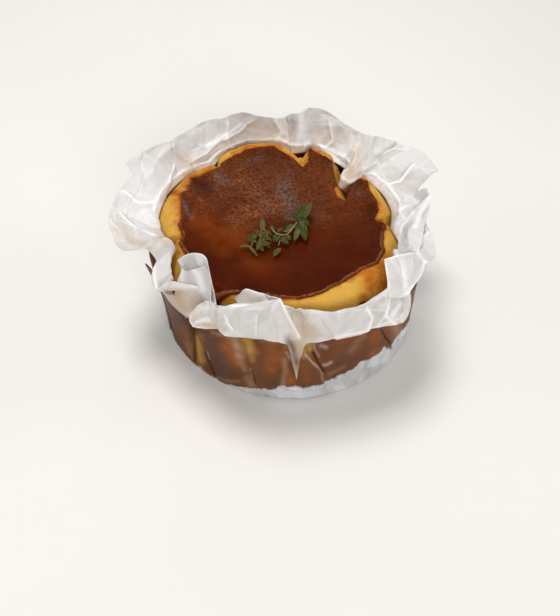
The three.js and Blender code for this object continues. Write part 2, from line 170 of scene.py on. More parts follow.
def cell_value(cell, seed):
    """A value from -1 to 1 that depends on the cell and the seed alone."""
    x, y, z = (cell[..., k] * prime for k, prime in enumerate(SCATTER))
    value = x ^ y ^ z ^ (seed * SEED_SCATTER)
    value = (value ^ (value >> 13)) * LAST_SCATTER & 0x7FFFFFFF
    return (value ^ (value >> 16)) % 65536 / 32768.0 - 1


def lattice_noise(points, size, seed):
    """Smooth noise from -1 to 1 over 3-D points, with cells of the given size."""
    place = points / size
    cell = np.floor(place).astype(np.int64)
    share = place - cell
    share = share * share * (3 - 2 * share)
    total = 0
    for corner in np.ndindex(2, 2, 2):
        weight = np.prod(np.where(corner, share, 1 - share), axis=-1)
        total = total + cell_value(cell + np.array(corner), seed) * weight
    return total


def cloud(points, size, seed, octaves=3):
    """Noise from -1 to 1 with finer and fainter noise on top."""
    total, weight = 0, 0
    for k in range(octaves):
        total = total + lattice_noise(points, size / 2**k, seed + k) / 2**k
        weight += 1 / 2**k
    return total / weight


RASTER = 0.4
JITTER = 0.45


def creased_field(width, height, spacing, seed):
    """A crumpled height field from -1 to 1: flat facets between random points, periodic in u."""
    rng = np.random.default_rng(seed)
    nu, nv = max(3, round(width / spacing)), int(height / spacing) + 3
    u = (np.arange(nu)[:, None] + rng.uniform(-JITTER, JITTER, (nu, nv))) * width / nu
    v = (np.arange(nv)[None, :] - 0.7 + rng.uniform(-JITTER, JITTER, (nu, nv))) * spacing
    level = rng.uniform(-1, 1, (nu, nv)).ravel()
    turns = [np.stack([u.ravel() + k * width, v.ravel(), level], 1) for k in (-1, 0, 1)]
    points = np.concatenate(turns)
    near = (points[:, 0] > -3 * spacing) & (points[:, 0] < width + 3 * spacing)
    points = points[near]
    flat = [Vector(point[:2]) for point in points]
    corners, _, faces, origin, _, _ = geometry.delaunay_2d_cdt(flat, [], [], 0, 1e-5)
    levels = [points[o[0], 2] for o in origin]
    field = np.zeros((int(round(width / RASTER)), int(height / RASTER) + 2))
    for face in faces:
        draw_facet(field, [corners[i] for i in face], [levels[i] for i in face])
    return field


def draw_facet(field, corners, levels):
    """Writes the heights of one flat triangle into a field."""
    a, b, c = corners
    area = (b[0] - a[0]) * (c[1] - a[1]) - (c[0] - a[0]) * (b[1] - a[1])
    if abs(area) < 1e-9:
        return
    spans = []
    for axis in (0, 1):
        reach = a[axis], b[axis], c[axis]
        first = max(0, int(min(reach) / RASTER))
        last = min(field.shape[axis] - 1, int(max(reach) / RASTER) + 1)
        if last < first:
            return
        spans.append(np.arange(first, last + 1))
    x, y = spans[0][:, None] * RASTER, spans[1][None, :] * RASTER
    wb = ((x - a[0]) * (c[1] - a[1]) - (c[0] - a[0]) * (y - a[1])) / area
    wc = ((b[0] - a[0]) * (y - a[1]) - (x - a[0]) * (b[1] - a[1])) / area
    wa = 1 - wb - wc
    inside = (wa >= -1e-6) & (wb >= -1e-6) & (wc >= -1e-6)
    patch = field[spans[0][0] : spans[0][-1] + 1, spans[1][0] : spans[1][-1] + 1]
    patch[inside] = (levels[0] * wa + levels[1] * wb + levels[2] * wc)[inside]


def read_field(field, u, v):
    """Values of a field between its raster points, periodic in u."""
    x = (u / RASTER) % field.shape[0]
    y = np.clip(v / RASTER, 0, field.shape[1] - 1.001)
    i, j = np.floor(x).astype(int), np.floor(y).astype(int)
    fx, fy = x - i, y - j
    i1 = (i + 1) % field.shape[0]
    i = i % field.shape[0]
    low = field[i, j] * (1 - fx) + field[i1, j] * fx
    high = field[i, j + 1] * (1 - fx) + field[i1, j + 1] * fx
    return low * (1 - fy) + high * fy


def bends(field):
    """How sharply a crumpled field bends at each place, 1 at its stronger creases."""
    bend = np.abs(np.gradient(np.gradient(field, axis=0), axis=0))
    bend += np.abs(np.gradient(np.gradient(field, axis=1), axis=1))
    return bend / np.percentile(bend, 97)


def slants(field):
    """Which way each facet of a crumpled field slants, about -1 to 1."""
    slope = np.gradient(field, axis=0) + 0.6 * np.gradient(field, axis=1)
    return np.clip(slope / (2 * np.std(slope)), -1, 1)


FAR = 1e9


def line_side(x, y, line):
    """Distance from places to a line of points and the side of it they lie on: 1 is the left."""
    best, side = np.full(np.shape(x), FAR), np.zeros(np.shape(x))
    for (ax, ay), (bx, by) in zip(line, line[1:]):
        dx, dy = bx - ax, by - ay
        t = np.clip(((x - ax) * dx + (y - ay) * dy) / (dx * dx + dy * dy), 0, 1)
        away = np.hypot(x - ax - t * dx, y - ay - t * dy)
        side = np.where(away < best, np.sign(dx * (y - ay) - dy * (x - ax)), side)
        best = np.minimum(best, away)
    return best, side


def inside_outline(x, y, outline):
    """Signed distance to a closed outline, positive inside."""
    loop = outline + [outline[0]]
    inside = np.zeros(np.shape(x), bool)
    for (ax, ay), (bx, by) in zip(loop, loop[1:]):
        if ay == by:
            continue
        crosses = ((ay > y) != (by > y)) & (x < (bx - ax) * (y - ay) / (by - ay) + ax)
        inside ^= crosses
    away, _ = line_side(x, y, loop)
    return np.where(inside, away, -away)


def strokes(px, py, marks, roughen=0):
    """Soft-edged strokes in the photograph's plane: each a line of pixels, a width and an amount."""
    total = np.zeros(np.shape(px))
    for line, width, amount in marks:
        run = line if len(line) > 1 else [line[0], (line[0][0] + 0.1, line[0][1])]
        away = line_side(px, py, run)[0] / width
        total = np.maximum(total, amount * np.exp(-(away**2)))
    return np.clip(total * (1 + roughen), 0, 1)


# ---------------------------------------------------------------- meshes and materials


def grid_quads(rows, columns, closed=True):
    """Quads between the points of a grid, closed round from the last column to the first or not."""
    low = np.arange(rows - 1)[:, None] * columns
    here = np.arange(columns if closed else columns - 1)[None, :]
    after = (here + 1) % columns
    quads = np.stack([low + here, low + after, low + columns + after, low + columns + here], -1)
    return quads.reshape(-1, 4)


def closed_tube(rows, columns):
    """Faces of a tube of points with its two poles, which follow its last row."""
    count, last = rows * columns, (rows - 1) * columns
    ring = np.arange(columns)
    after = (ring + 1) % columns
    first_cap = np.stack([np.full(columns, count), after, ring], 1)
    last_cap = np.stack([np.full(columns, count + 1), last + ring, last + after], 1)
    return [grid_quads(rows, columns), first_cap, last_cap]


def make_object(name, vertices, faces, attributes, material):
    """A visible piece from vertices in millimetres and a list of arrays of triangles or quads."""
    mesh = bpy.data.meshes.new(name)
    mesh.vertices.add(len(vertices))
    mesh.vertices.foreach_set("co", (np.asarray(vertices, float) * MM).ravel())
    corners = np.concatenate([f.ravel() for f in faces])
    sizes = np.concatenate([np.full(len(f), f.shape[1]) for f in faces])
    mesh.loops.add(len(corners))
    mesh.loops.foreach_set("vertex_index", corners.astype(np.int32))
    mesh.polygons.add(len(sizes))
    starts = np.concatenate([[0], np.cumsum(sizes)[:-1]])
    mesh.polygons.foreach_set("loop_start", starts.astype(np.int32))
    mesh.update(calc_edges=True)
    mesh.polygons.foreach_set("use_smooth", np.full(len(sizes), True))
    for key, values in attributes.items():
        layer = mesh.attributes.new(key, "FLOAT", "POINT")
        layer.data.foreach_set("value", np.asarray(values, np.float32).ravel())
    mesh.materials.append(material)
    mesh.validate()
    obj = bpy.data.objects.new(name, mesh)
    bpy.context.collection.objects.link(obj)
    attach(obj, "root")
    return obj


def sheet_normals(grid, closed):
    """Unit normals of a grid of points, rows by columns."""
    if closed:
        du = np.roll(grid, -1, 1) - np.roll(grid, 1, 1)
    else:
        du = np.gradient(grid, axis=1)
    dv = np.gradient(grid, axis=0)
    n = np.cross(du, dv)
    return n / np.maximum(np.linalg.norm(n, axis=-1, keepdims=True), 1e-9)


class Nodes:
    """A short way to write a node tree."""

    def __init__(self, name):
        self.material = bpy.data.materials.new(name)
        self.material.use_nodes = True
        self.tree = self.material.node_tree
        self.shader = self.tree.nodes["Principled BSDF"]
        self.output = self.tree.nodes["Material Output"]
        self.place = self.add("ShaderNodeTexCoord").outputs["Object"]

    def add(self, kind, inputs=None, **settings):
        node = self.tree.nodes.new(kind)
        for key, value in settings.items():
            setattr(node, key, value)
        for key, value in (inputs or {}).items():
            self.put(node.inputs[key], value)
        return node

    def put(self, socket, value):
        if isinstance(value, bpy.types.NodeSocket):
            self.tree.links.new(value, socket)
        else:
            socket.default_value = value

    def attribute(self, name):
        return self.add("ShaderNodeAttribute", attribute_name=name).outputs["Fac"]

    def noise(self, scale, detail=3.0, rough=0.5, stretch=None):
        place = self.place
        if stretch:
            place = self.add("ShaderNodeMapping", {"Vector": place, "Scale": stretch}).outputs[0]
        inputs = {"Vector": place, "Scale": scale, "Detail": detail, "Roughness": rough}
        return self.add("ShaderNodeTexNoise", inputs).outputs["Fac"]

    def ramp(self, value, low, high, to_low=0.0, to_high=1.0):
        keys = {"Value": value, "From Min": low, "From Max": high, "To Min": to_low, "To Max": to_high}
        return self.add("ShaderNodeMapRange", keys).outputs[0]

    def math(self, operation, a, b=0.0, clamp=False):
        node = self.add("ShaderNodeMath", operation=operation, use_clamp=clamp)
        self.put(node.inputs[0], a)
        self.put(node.inputs[1], b)
        return node.outputs[0]

    def blend(self, share, a, b):
        node = self.add("ShaderNodeMix", data_type="RGBA")
        self.put(node.inputs[0], share)
        for socket, value in ((node.inputs[6], a), (node.inputs[7], b)):
            self.put(socket, value if isinstance(value, bpy.types.NodeSocket) else (*value, 1))
        return node.outputs[2]

    def bump(self, height, distance, strength):
        inputs = {"Height": height, "Distance": distance, "Strength": strength}
        return self.add("ShaderNodeBump", inputs).outputs[0]

    def coat_of(self, shader=None, **inputs):
        """Sets a surface's values, on the material's own shader or on a further one."""
        shader = shader or self.add("ShaderNodeBsdfPrincipled")
        for key, value in inputs.items():
            self.put(shader.inputs[key.replace("_", " ")], value)
        return shader.outputs[0]

    def set(self, **inputs):
        return self.coat_of(self.shader, **inputs)

    def layer(self, share, below, above):
        node = self.add("ShaderNodeMixShader", {"Fac": share})
        self.put(node.inputs[1], below)
        self.put(node.inputs[2], above)
        return node.outputs[0]

    def surface(self, shader):
        self.put(self.output.inputs["Surface"], shader)


# ---------------------------------------------------------------- sizes shared with the solids

TIN_RADIUS = 60
SOLID_PAPER = 0.8
GAP = 0.35
PLEAT_STEP = 1.2
CRUST_HEIGHT = 55.4
LIP_RISE = 0.8
CRUST_INSET = 0.3
BACK_RISE = 1.5
SHOULDER_DIP = 3.6
BASE_FILLET = 2.4
OPEN_MIDDLE, OPEN_FOOT, LOOSE_FROM = 39, 43, 35
BEND_LENGTH = 1.8
CAKE_SIDE = TIN_RADIUS - SOLID_PAPER - GAP - PLEAT_STEP
CAKE_BOTTOM = SOLID_PAPER + GAP
PAPER_SIDE = TIN_RADIUS - SOLID_PAPER / 2

# Lobes of the cake: azimuth, radius of the golden shoulder, of the crust, drop height, swell
LOBES = [
    (2, 44.5, 36.5, 36, 0), (14, 45.5, 39.5, 36, 0), (34, 46.5, 43, 38, 0), (50, 46, 44, 40, 0),
    (66, 49, 47, 41, 0), (80, 54.5, 52.5, 43, 0.5), (90, 51.5, 45, 43, 1), (99, 58, 53, 45, 3),
    (112, 61.5, 56, 48, 5), (125, 58.5, 54.5, 47, 4), (135, 53, 49.5, 45, 2.5), (150, 57.5, 53.5, 46, 2.5),
    (165, 58.5, 49.5, 45, 3), (182, 58, 47, 44, 3.5), (194, 55, 47.5, 43, 3.5), (203, 53, 51, 42, 3),
    (222, 56, 53, 42, 2), (250, 56, 51.5, 41, 0.5), (270, 56, 51.5, 40, 0), (290, 55.5, 47.5, 38, 0),
    (308, 54, 43, 36, 0), (328, 50.5, 39.5, 36, 0), (342, 48, 39.5, 36, 0), (353, 43.5, 36, 36, 0),
]

# Slots in the rim: mouth, tip, depth at the mouth, width of the left wall and of the right wall
SLOTS = [
    ((29.5, 34), (23.7, 12), 15, 10.5, 2.2),
    ((5.5, 54), (5.3, 37.0), 6.5, 9, 3),
    ((-38, 39), (-33.6, 34.5), 7, 4, 3),
    ((-51.5, -17.5), (-43.5, -16.4), 7, 3, 3),
    ((45, -1.5), (36.4, -3.6), 6, 6, 1.4),
]

# The paper above the cake: azimuth, low length, low lean, high length, high lean
FOLDS = [
    (1, 10.5, 65, 5.5, 42), (8, 10, 66, 7.5, 43), (15, 8, 66, 4.5, 59), (21, 12.5, 68, 13, 72),
    (31, 13, 65, 13, 73), (38, 13, 61, 11.5, 72), (46, 12.5, 57, 8, 58), (55, 9, 43, 7.5, 43),
    (66, 9, 37, 8, 32), (76, 9, 27, 10.5, 20), (83, 7.5, 27, 12, 4), (88, 7, 21, 11, 14),
    (91, 8, 49, 7.5, 27), (98, 6.5, 23, 6, 16), (106, 7, 8, 7, 0), (114, 8, 6, 9, 3),
    (124, 7.5, 18, 9, 8), (134, 9, 37, 10, 27), (148, 7.5, 27, 9, 27), (157, 8, 49, 11, 42),
    (165, 10, 52, 11, 60), (168, 8, 58, 7.5, 54), (178, 10, 63, 8.5, 66), (188, 10, 73, 10.5, 78),
    (197, 8.5, 78, 11.5, 86), (202, 7.8, 62, 11.5, 94), (205, 7.7, 24, 8, 104),
    (208, 6.6, -31, 7.4, 118), (212, 9.9, -28, 10.6, 122), (216, 9.7, -16, 9.8, 130),
    (220, 9, -7, 7.2, 150), (221.5, 1.5, 5, 1, 40), (222.6, 6, -4, 1.5, 0), (224.4, 11, -8, 4.5, -10),
    (227.5, 11, -8, 5.2, -8), (230.5, 12, -8, 6.2, -8), (235, 12, -8, 10.2, -7), (237, 11.5, -6, 9, -6),
    (239, 11.5, -2, 5.5, -3), (241, 11.5, 4, 2.6, 5), (243, 11.5, 12, 1.5, 60), (245, 12.3, 18, 5, 160),
    (248, 13, 14, 11, 171), (251, 13.5, 6, 14.5, 173), (266, 16, -6, 16, 167),
    (269.2, 15.4, -5, 17, 169), (270.2, 15.2, -4, 21, 171), (271, 15, -2, 27, 174),
    (272.2, 14.5, -1.5, 32, 175), (273.2, 14.2, -1, 37, 175.5), (274, 13.9, 0, 30, 175.5),
    (274.7, 13.7, 1, 22, 175), (275.3, 13.5, 2, 16, 172), (276, 13.5, 3, 14.5, 170),
    (287, 13.5, 6, 14.5, 173), (305, 13.5, 6, 14.5, 170), (312, 14, -2, 16.5, 161),
    (318, 13, -10, 15.5, 149), (326, 8, 7, 9, 130), (334, 8, 45, 8, 101), (341, 8.5, 58, 5, 67),
    (352, 9.5, 67, 4, 45),
]

# Pleats down the side, each a line of (height, azimuth), proud on its low-azimuth side
PLEATS = [
    [(0, 4), (45, 2)], [(0, 27), (45, 25)], [(0, 47), (45, 49)], [(0, 68), (45, 66)],
    [(0, 85), (45, 83)], [(0, 109), (45, 111)], [(0, 136), (45, 134)], [(0, 156), (45, 158)],
    [(0, 181), (45, 179)], [(0, 204), (45, 202)],
    [(0, 228), (7, 227), (15, 227.5), (23, 228), (29, 227.4), (34, 226)],
    [(0, 238.6), (10, 235.5), (16, 233.5), (22, 231.5), (30, 229.6)],
    [(0, 258), (10, 257.2), (16, 256.3), (21, 254.8), (28, 253)],
    [(0, 286.8), (10, 285.3), (15, 284.4), (21, 282.8), (26, 280.4), (32, 277.4), (39, 275)],
    [(0, 326), (12, 320.6), (15, 319.6), (22, 314.6), (29, 311), (37, 307)],
    [(0, 341), (45, 337)],
]
PLEAT_DEPTHS = [0.8, 1, 0.7, 1, 0.8, 1, 0.8, 1, 0.8, 0.4, 1.2, 0.7, 0.35, 1.1, 1.1, 0.8]
PLEAT_FADE = 14

FREE_FROM, FREE_TO, FREE_BLEND = 204, 322, 10
EASE_OUT, REST_GAP = 5.5, 0.45


def lobe(azimuth, column):
    return round_table(LOBES, azimuth, column)


def side_swell(azimuth, height):
    return lobe(azimuth, 4) * smoothstep(height, 8, 46)


def shoulder(azimuth, t):
    """Radius and height on the rounded shoulder: t 0 is the crust edge and 1 the side."""
    crust, drop = lobe(azimuth, 2), lobe(azimuth, 3)
    start = crust + LIP_RISE, CRUST_HEIGHT - CRUST_INSET
    end = CAKE_SIDE + side_swell(azimuth, drop), drop
    middle = lobe(azimuth, 1), CRUST_HEIGHT - SHOULDER_DIP
    control = [2 * m - (s + e) / 2 for s, m, e in zip(start, middle, end)]
    point = [(1 - t) ** 2 * s + 2 * t * (1 - t) * c + t * t * e for s, c, e in zip(start, control, end)]
    return np.minimum(point[0], CAKE_SIDE + lobe(azimuth, 4)), point[1]


def crust_swell(x, y):
    return 0.3 * np.sin(x / 8 + 1.1) * np.cos(y / 9.5) - 0.5 * (1 - np.hypot(x, y) / 50)


def crust_top(x, y):
    return CRUST_HEIGHT - CRUST_INSET + crust_swell(x, y)


# ---------------------------------------------------------------- cheesecake

CRUST_OUTLINE = [
    (-46.8, 25.4), (-47.1, 15.3), (-50.4, 12.9), (-48.8, 4.1), (-47.5, -3.6), (-48.5, -9.1),
    (-46.0, -15.6), (-46.5, -21.4), (-43, -28), (-41.5, -34), (-37.5, -41), (-32.5, -46.5),
    (-28.4, -49.3), (-22.6, -49.6), (-15.7, -49.8), (-9.9, -50.8), (-3.7, -51.7), (2.8, -52.0),
    (7.4, -50.7), (12.9, -47.8), (18.5, -43.7), (23.4, -39.6), (27.2, -35.4), (31.8, -32.9),
    (35.2, -30.4), (38.3, -23.5), (38.3, -18.5), (39.4, -10.7), (41.1, -6.6), (41.0, -2.5),
    (37.4, -4.0), (36.4, -0.6), (38.6, 4.4), (38.0, 13.1), (35.7, 19.0), (35.3, 25.2),
    (31.3, 28.1), (27.4, 25.6), (25.3, 20.1), (23.9, 11.7), (20.9, 13.8), (19.3, 19.8),
    (20.8, 23.7), (23.8, 27.8), (26.1, 35.2), (22.6, 42.6), (18.2, 42.3), (14.5, 46.5),
    (10.2, 50.6), (8.2, 54.5), (7.7, 45.3), (7.6, 41.0), (5.2, 36.7), (1.8, 41.6),
    (-2.1, 45.7), (-7.0, 50.7), (-9.1, 53.2), (-14.9, 52.1), (-22.7, 49.9), (-24.9, 46.3),
    (-28.2, 44.4), (-32.6, 39.1), (-35.9, 33.1), (-42.9, 27.9),
]


def slot_depth(x, y):
    """How deep the slots cut at a place, with sloping walls."""
    deepest = np.zeros(np.shape(x))
    for mouth, tip, depth, left, right in SLOTS:
        axis = np.array(mouth, float) - tip
        length = np.hypot(*axis)
        axis /= length
        s = ((x - tip[0]) * axis[0] + (y - tip[1]) * axis[1]) / length
        w = (x - tip[0]) * -axis[1] + (y - tip[1]) * axis[0]
        spread = np.clip(s + 0.05, 0, 1.3)
        half = np.maximum(np.where(w > 0, left, right) * spread**0.7, 0.05)
        wall = np.clip(1 - np.abs(w) / half, 0, 1)
        deepest = np.maximum(deepest, depth * np.clip(spread, 0, 1.1) ** 0.8 * wall)
    return deepest


GOLD, DEEP_GOLD, PALE_GOLD = (0.67, 0.385, 0.064), (0.59, 0.3, 0.036), (0.75, 0.505, 0.155)
TOAST, BURNT_TOAST = (0.5, 0.155, 0.012), (0.2, 0.042, 0.004)
CRUST_BROWN, CRUST_RED = (0.058, 0.0072, 0.0007), (0.086, 0.012, 0.0008)
# The deep brown darkens crust patches and is also the painted shadow under the front lip
WARM_BROWN, DARK_CRUST_AND_SHADOW = (0.16, 0.028, 0.001), (0.04, 0.0055, 0.001)
SPECK_BROWN = (0.045, 0.007, 0.0015)
# Grain of the crust: dark and pale speckles, the pale ones partly painted glints
GRAIN_DARK, GRAIN_GLINT_PALE = (0.075, 0.018, 0.004), (0.27, 0.092, 0.03)
# Colours of the painted sheen, a greyish highlight on the crust
SHEEN_DARK, SHEEN_PALE = (0.075, 0.033, 0.022), (0.17, 0.115, 0.095)
LIP_BROWN = (0.36, 0.125, 0.055)


def cake_material():
    m = Nodes("baked_cheesecake")
    toast, rim, painted_sheen = m.attribute("toast"), m.attribute("rim"), m.attribute("painted_sheen")
    blotch = m.noise(75, 4, 0.6)
    medium = m.noise(260, 3, 0.6)
    fine = m.noise(800, 3, 0.65)

    gold = m.blend(m.ramp(blotch, 0.35, 0.7), GOLD, DEEP_GOLD)
    gold = m.blend(m.ramp(medium, 0.5, 0.8, 0, 0.55), gold, PALE_GOLD)
    baked = m.math("ADD", toast, m.ramp(medium, 0.3, 0.7, -0.16, 0.16), clamp=True)
    flecks = m.math("MULTIPLY", toast, m.ramp(fine, 0.3, 0.7, -0.2, 0.2))
    baked = m.math("ADD", baked, flecks, clamp=True)
    gold = m.blend(m.ramp(baked, 0.05, 0.5), gold, TOAST)
    gold = m.blend(m.ramp(baked, 0.55, 1.0), gold, BURNT_TOAST)
    crumb_bump = m.bump(m.math("ADD", fine, medium), 0.0005, 0.7)
    rim_shader = m.coat_of(
        Base_Color=gold, Roughness=0.5, Normal=crumb_bump, Specular_IOR_Level=0.12,
        Subsurface_Weight=0.08, Subsurface_Radius=(0.004, 0.002, 0.0008), Subsurface_Scale=0.5,
    )

    brown = m.blend(m.ramp(blotch, 0.3, 0.7), CRUST_BROWN, CRUST_RED)
    brown = m.blend(m.attribute("warm"), brown, WARM_BROWN)
    # Grain speckles, partly real grain and partly painted glints
    grain_glints = m.blend(m.ramp(fine, 0.38, 0.62), GRAIN_DARK, GRAIN_GLINT_PALE)
    brown = m.blend(m.attribute("grain"), brown, grain_glints)
    brown = m.blend(m.ramp(m.noise(430, 4, 0.7), 0.52, 0.76, 0, 0.5), brown, SPECK_BROWN)
    brown = m.blend(m.attribute("deep"), brown, DARK_CRUST_AND_SHADOW)
    brown = m.blend(m.math("MULTIPLY", rim, m.ramp(fine, 0.35, 0.6, 0.45, 1)), brown, LIP_BROWN)
    # Painted sheen: highlight colours painted into the crust, where a glossier surface is used too
    brown = m.blend(painted_sheen, brown, m.blend(m.ramp(fine, 0.4, 0.65), SHEEN_DARK, SHEEN_PALE))
    pebbles = m.math("ADD", m.math("MULTIPLY", medium, 0.6), m.math("MULTIPLY", fine, 0.9))
    rough_share = m.math("ADD", m.math("MULTIPLY", m.attribute("grain"), 0.6), 0.12)
    satin = m.set(
        Base_Color=brown, Roughness=m.ramp(medium, 0.3, 0.7, 0.26, 0.38),
        Normal=m.bump(pebbles, 0.0004, rough_share), Specular_IOR_Level=0.02,
    )
    glazed = m.coat_of(
        Base_Color=brown, Roughness=0.3, Normal=m.bump(pebbles, 0.0004, 0.9), Specular_IOR_Level=0.12
    )
    m.surface(m.layer(m.attribute("crust"), rim_shader, m.layer(painted_sheen, satin, glazed)))
    return m.material


# Where the golden rim browned more, in the photograph
TOASTED = [
    ([(173, 192), (180, 195)], 4.5, 0.75), ([(181, 198), (182, 215), (180, 229)], 2.6, 0.8),
    ([(176, 222)], 3, 0.6), ([(186, 183), (190, 178)], 3, 0.6),
    ([(232, 153), (250, 146), (268, 148)], 2, 0.5), ([(250, 142), (262, 141)], 2.2, 0.6),
    ([(300, 164), (306, 160)], 3, 0.7), ([(309, 147), (311, 160)], 2.6, 0.95),
    ([(334, 182), (340, 188)], 2, 0.35), ([(370, 195), (376, 212)], 2.5, 0.5),
    ([(377, 233), (381, 245), (382, 254)], 4, 0.6), ([(381, 262), (388, 278), (386, 292)], 12, 0.6),
    ([(368, 270), (371, 284)], 11, 0.55), ([(362, 305), (373, 300), (386, 291)], 3.5, 1.0),
    ([(365, 268), (350, 278)], 6, 0.45), ([(364, 296)], 6, 0.4),
    ([(215, 291), (230, 288), (240, 290)], 2.4, 0.7), ([(282, 299), (300, 299), (320, 294)], 1.6, 0.6),
    ([(178, 252), (190, 257)], 3, 0.35), ([(180, 243), (186, 250), (196, 253)], 3, 0.75),
    ([(373, 222), (383, 220)], 1.8, 1.0),
]

# Where the crust's colour drifts, in the photograph, with painted glints among the grain and a painted
# sheen
WARM_CRUST = [
    ([(196, 216), (215, 232), (240, 238)], 13, 0.9), ([(215, 245), (262, 268)], 10, 0.5),
    ([(338, 202), (331, 186)], 6, 0.55), ([(322, 235), (345, 215)], 12, 0.2),
    ([(215, 168), (222, 160)], 6, 0.3), ([(188, 188), (190, 196)], 3, 0.4),
    ([(312, 170), (335, 176)], 6, 0.4), ([(205, 196), (212, 210)], 6, 0.35),
]
# Grainy crust, partly real grain and partly painted glints, most at the back and left
GRAIN_AND_GLINTS = [
    ([(242, 178), (262, 205), (240, 215)], 15, 0.75), ([(252, 192), (276, 205)], 13, 0.8),
    ([(322, 214)], 12, 0.45), ([(300, 172)], 8, 0.35), ([(225, 195)], 9, 0.5), ([(262, 165)], 9, 0.35),
    ([(214, 172), (222, 184)], 7, 0.65), ([(200, 198), (205, 212)], 5, 0.5),
    ([(235, 160), (250, 153)], 5, 0.4),
]
DEEP_CRUST = [
    ([(196, 180), (207, 190)], 8, 0.7), ([(229, 262), (237, 258)], 6, 0.75),
    ([(300, 275), (345, 262)], 15, 0.35), ([(369, 215), (372, 208)], 6, 0.6),
    ([(189, 205), (190, 217)], 3, 0.6), ([(358, 186)], 8, 0.5), ([(255, 156), (285, 153)], 8, 0.35),
    ([(206, 258), (222, 282)], 10, 0.45), ([(327, 160), (345, 170)], 6, 0.5),
    ([(240, 288), (280, 291)], 5, 0.3),
]
# Painted sheen: where a greyish highlight and small glints are painted on the crust
PAINTED_SHEEN_MARKS = [
    ([(283, 186), (288, 201)], 8, 0.65), ([(290, 212), (297, 206)], 6, 0.5),
    ([(216, 174), (226, 181)], 5, 0.5), ([(247, 163), (262, 158)], 4, 0.35), ([(291, 171)], 4, 0.25),
    ([(184, 203), (188, 211), (192, 218)], 2.6, 0.65), ([(332, 165)], 4, 0.3), ([(358, 193)], 4, 0.25),
    ([(266, 204)], 9, 0.25), ([(216, 188)], 4, 0.3),
]


CAKE_COLUMNS = 840
SIDE_ROWS, SHOULDER_ROWS, CRUST_ROWS = 14, 44, 96
EDGE_WOBBLE = 0.5
CRUST_FROM, CRUST_FULL = 44, 47  # heights between which the crust may begin
LIP_INSET, LIP_WIDTH, LIP_LINE = 0.8, 0.65, 0.5
BLISTER_HEIGHT, PEBBLE_HEIGHT, WAVE_HEIGHT = 1.4, 0.12, 0.35
BACK_OUTSET, BACK_WIDTH = 2.4, 1.7


def cake_rows(azimuth):
    """Radius and height of the cake's surface, in rows from the underside to the crust's middle."""
    level = np.ones(len(azimuth))
    rows = [
        (0.5 * CAKE_SIDE * level, CAKE_BOTTOM * level),
        ((CAKE_SIDE - BASE_FILLET) * level, CAKE_BOTTOM * level),
        (CAKE_SIDE * level, (CAKE_BOTTOM + BASE_FILLET) * level),
    ]
    for share in np.linspace(0.1, 0.95, SIDE_ROWS):
        height = mix(CAKE_BOTTOM + BASE_FILLET, lobe(azimuth, 3), share)
        rows.append((CAKE_SIDE + side_swell(azimuth, height), height))
    for t in np.linspace(1, 0.02, SHOULDER_ROWS):
        rows.append(shoulder(azimuth, t))
    crust_radius = lobe(azimuth, 2) + LIP_RISE
    for share in np.linspace(1, 0, CRUST_ROWS)[:-1]:
        rows.append((crust_radius * share, (CRUST_HEIGHT - CRUST_INSET) * level))
    radius, height = (np.array(part) for part in zip(*rows))
    a = np.radians(azimuth)
    x, y = radius * np.cos(a), radius * np.sin(a)
    height[1 - CRUST_ROWS :] += crust_swell(x, y)[1 - CRUST_ROWS :]
    return np.stack([x, y, height], -1)


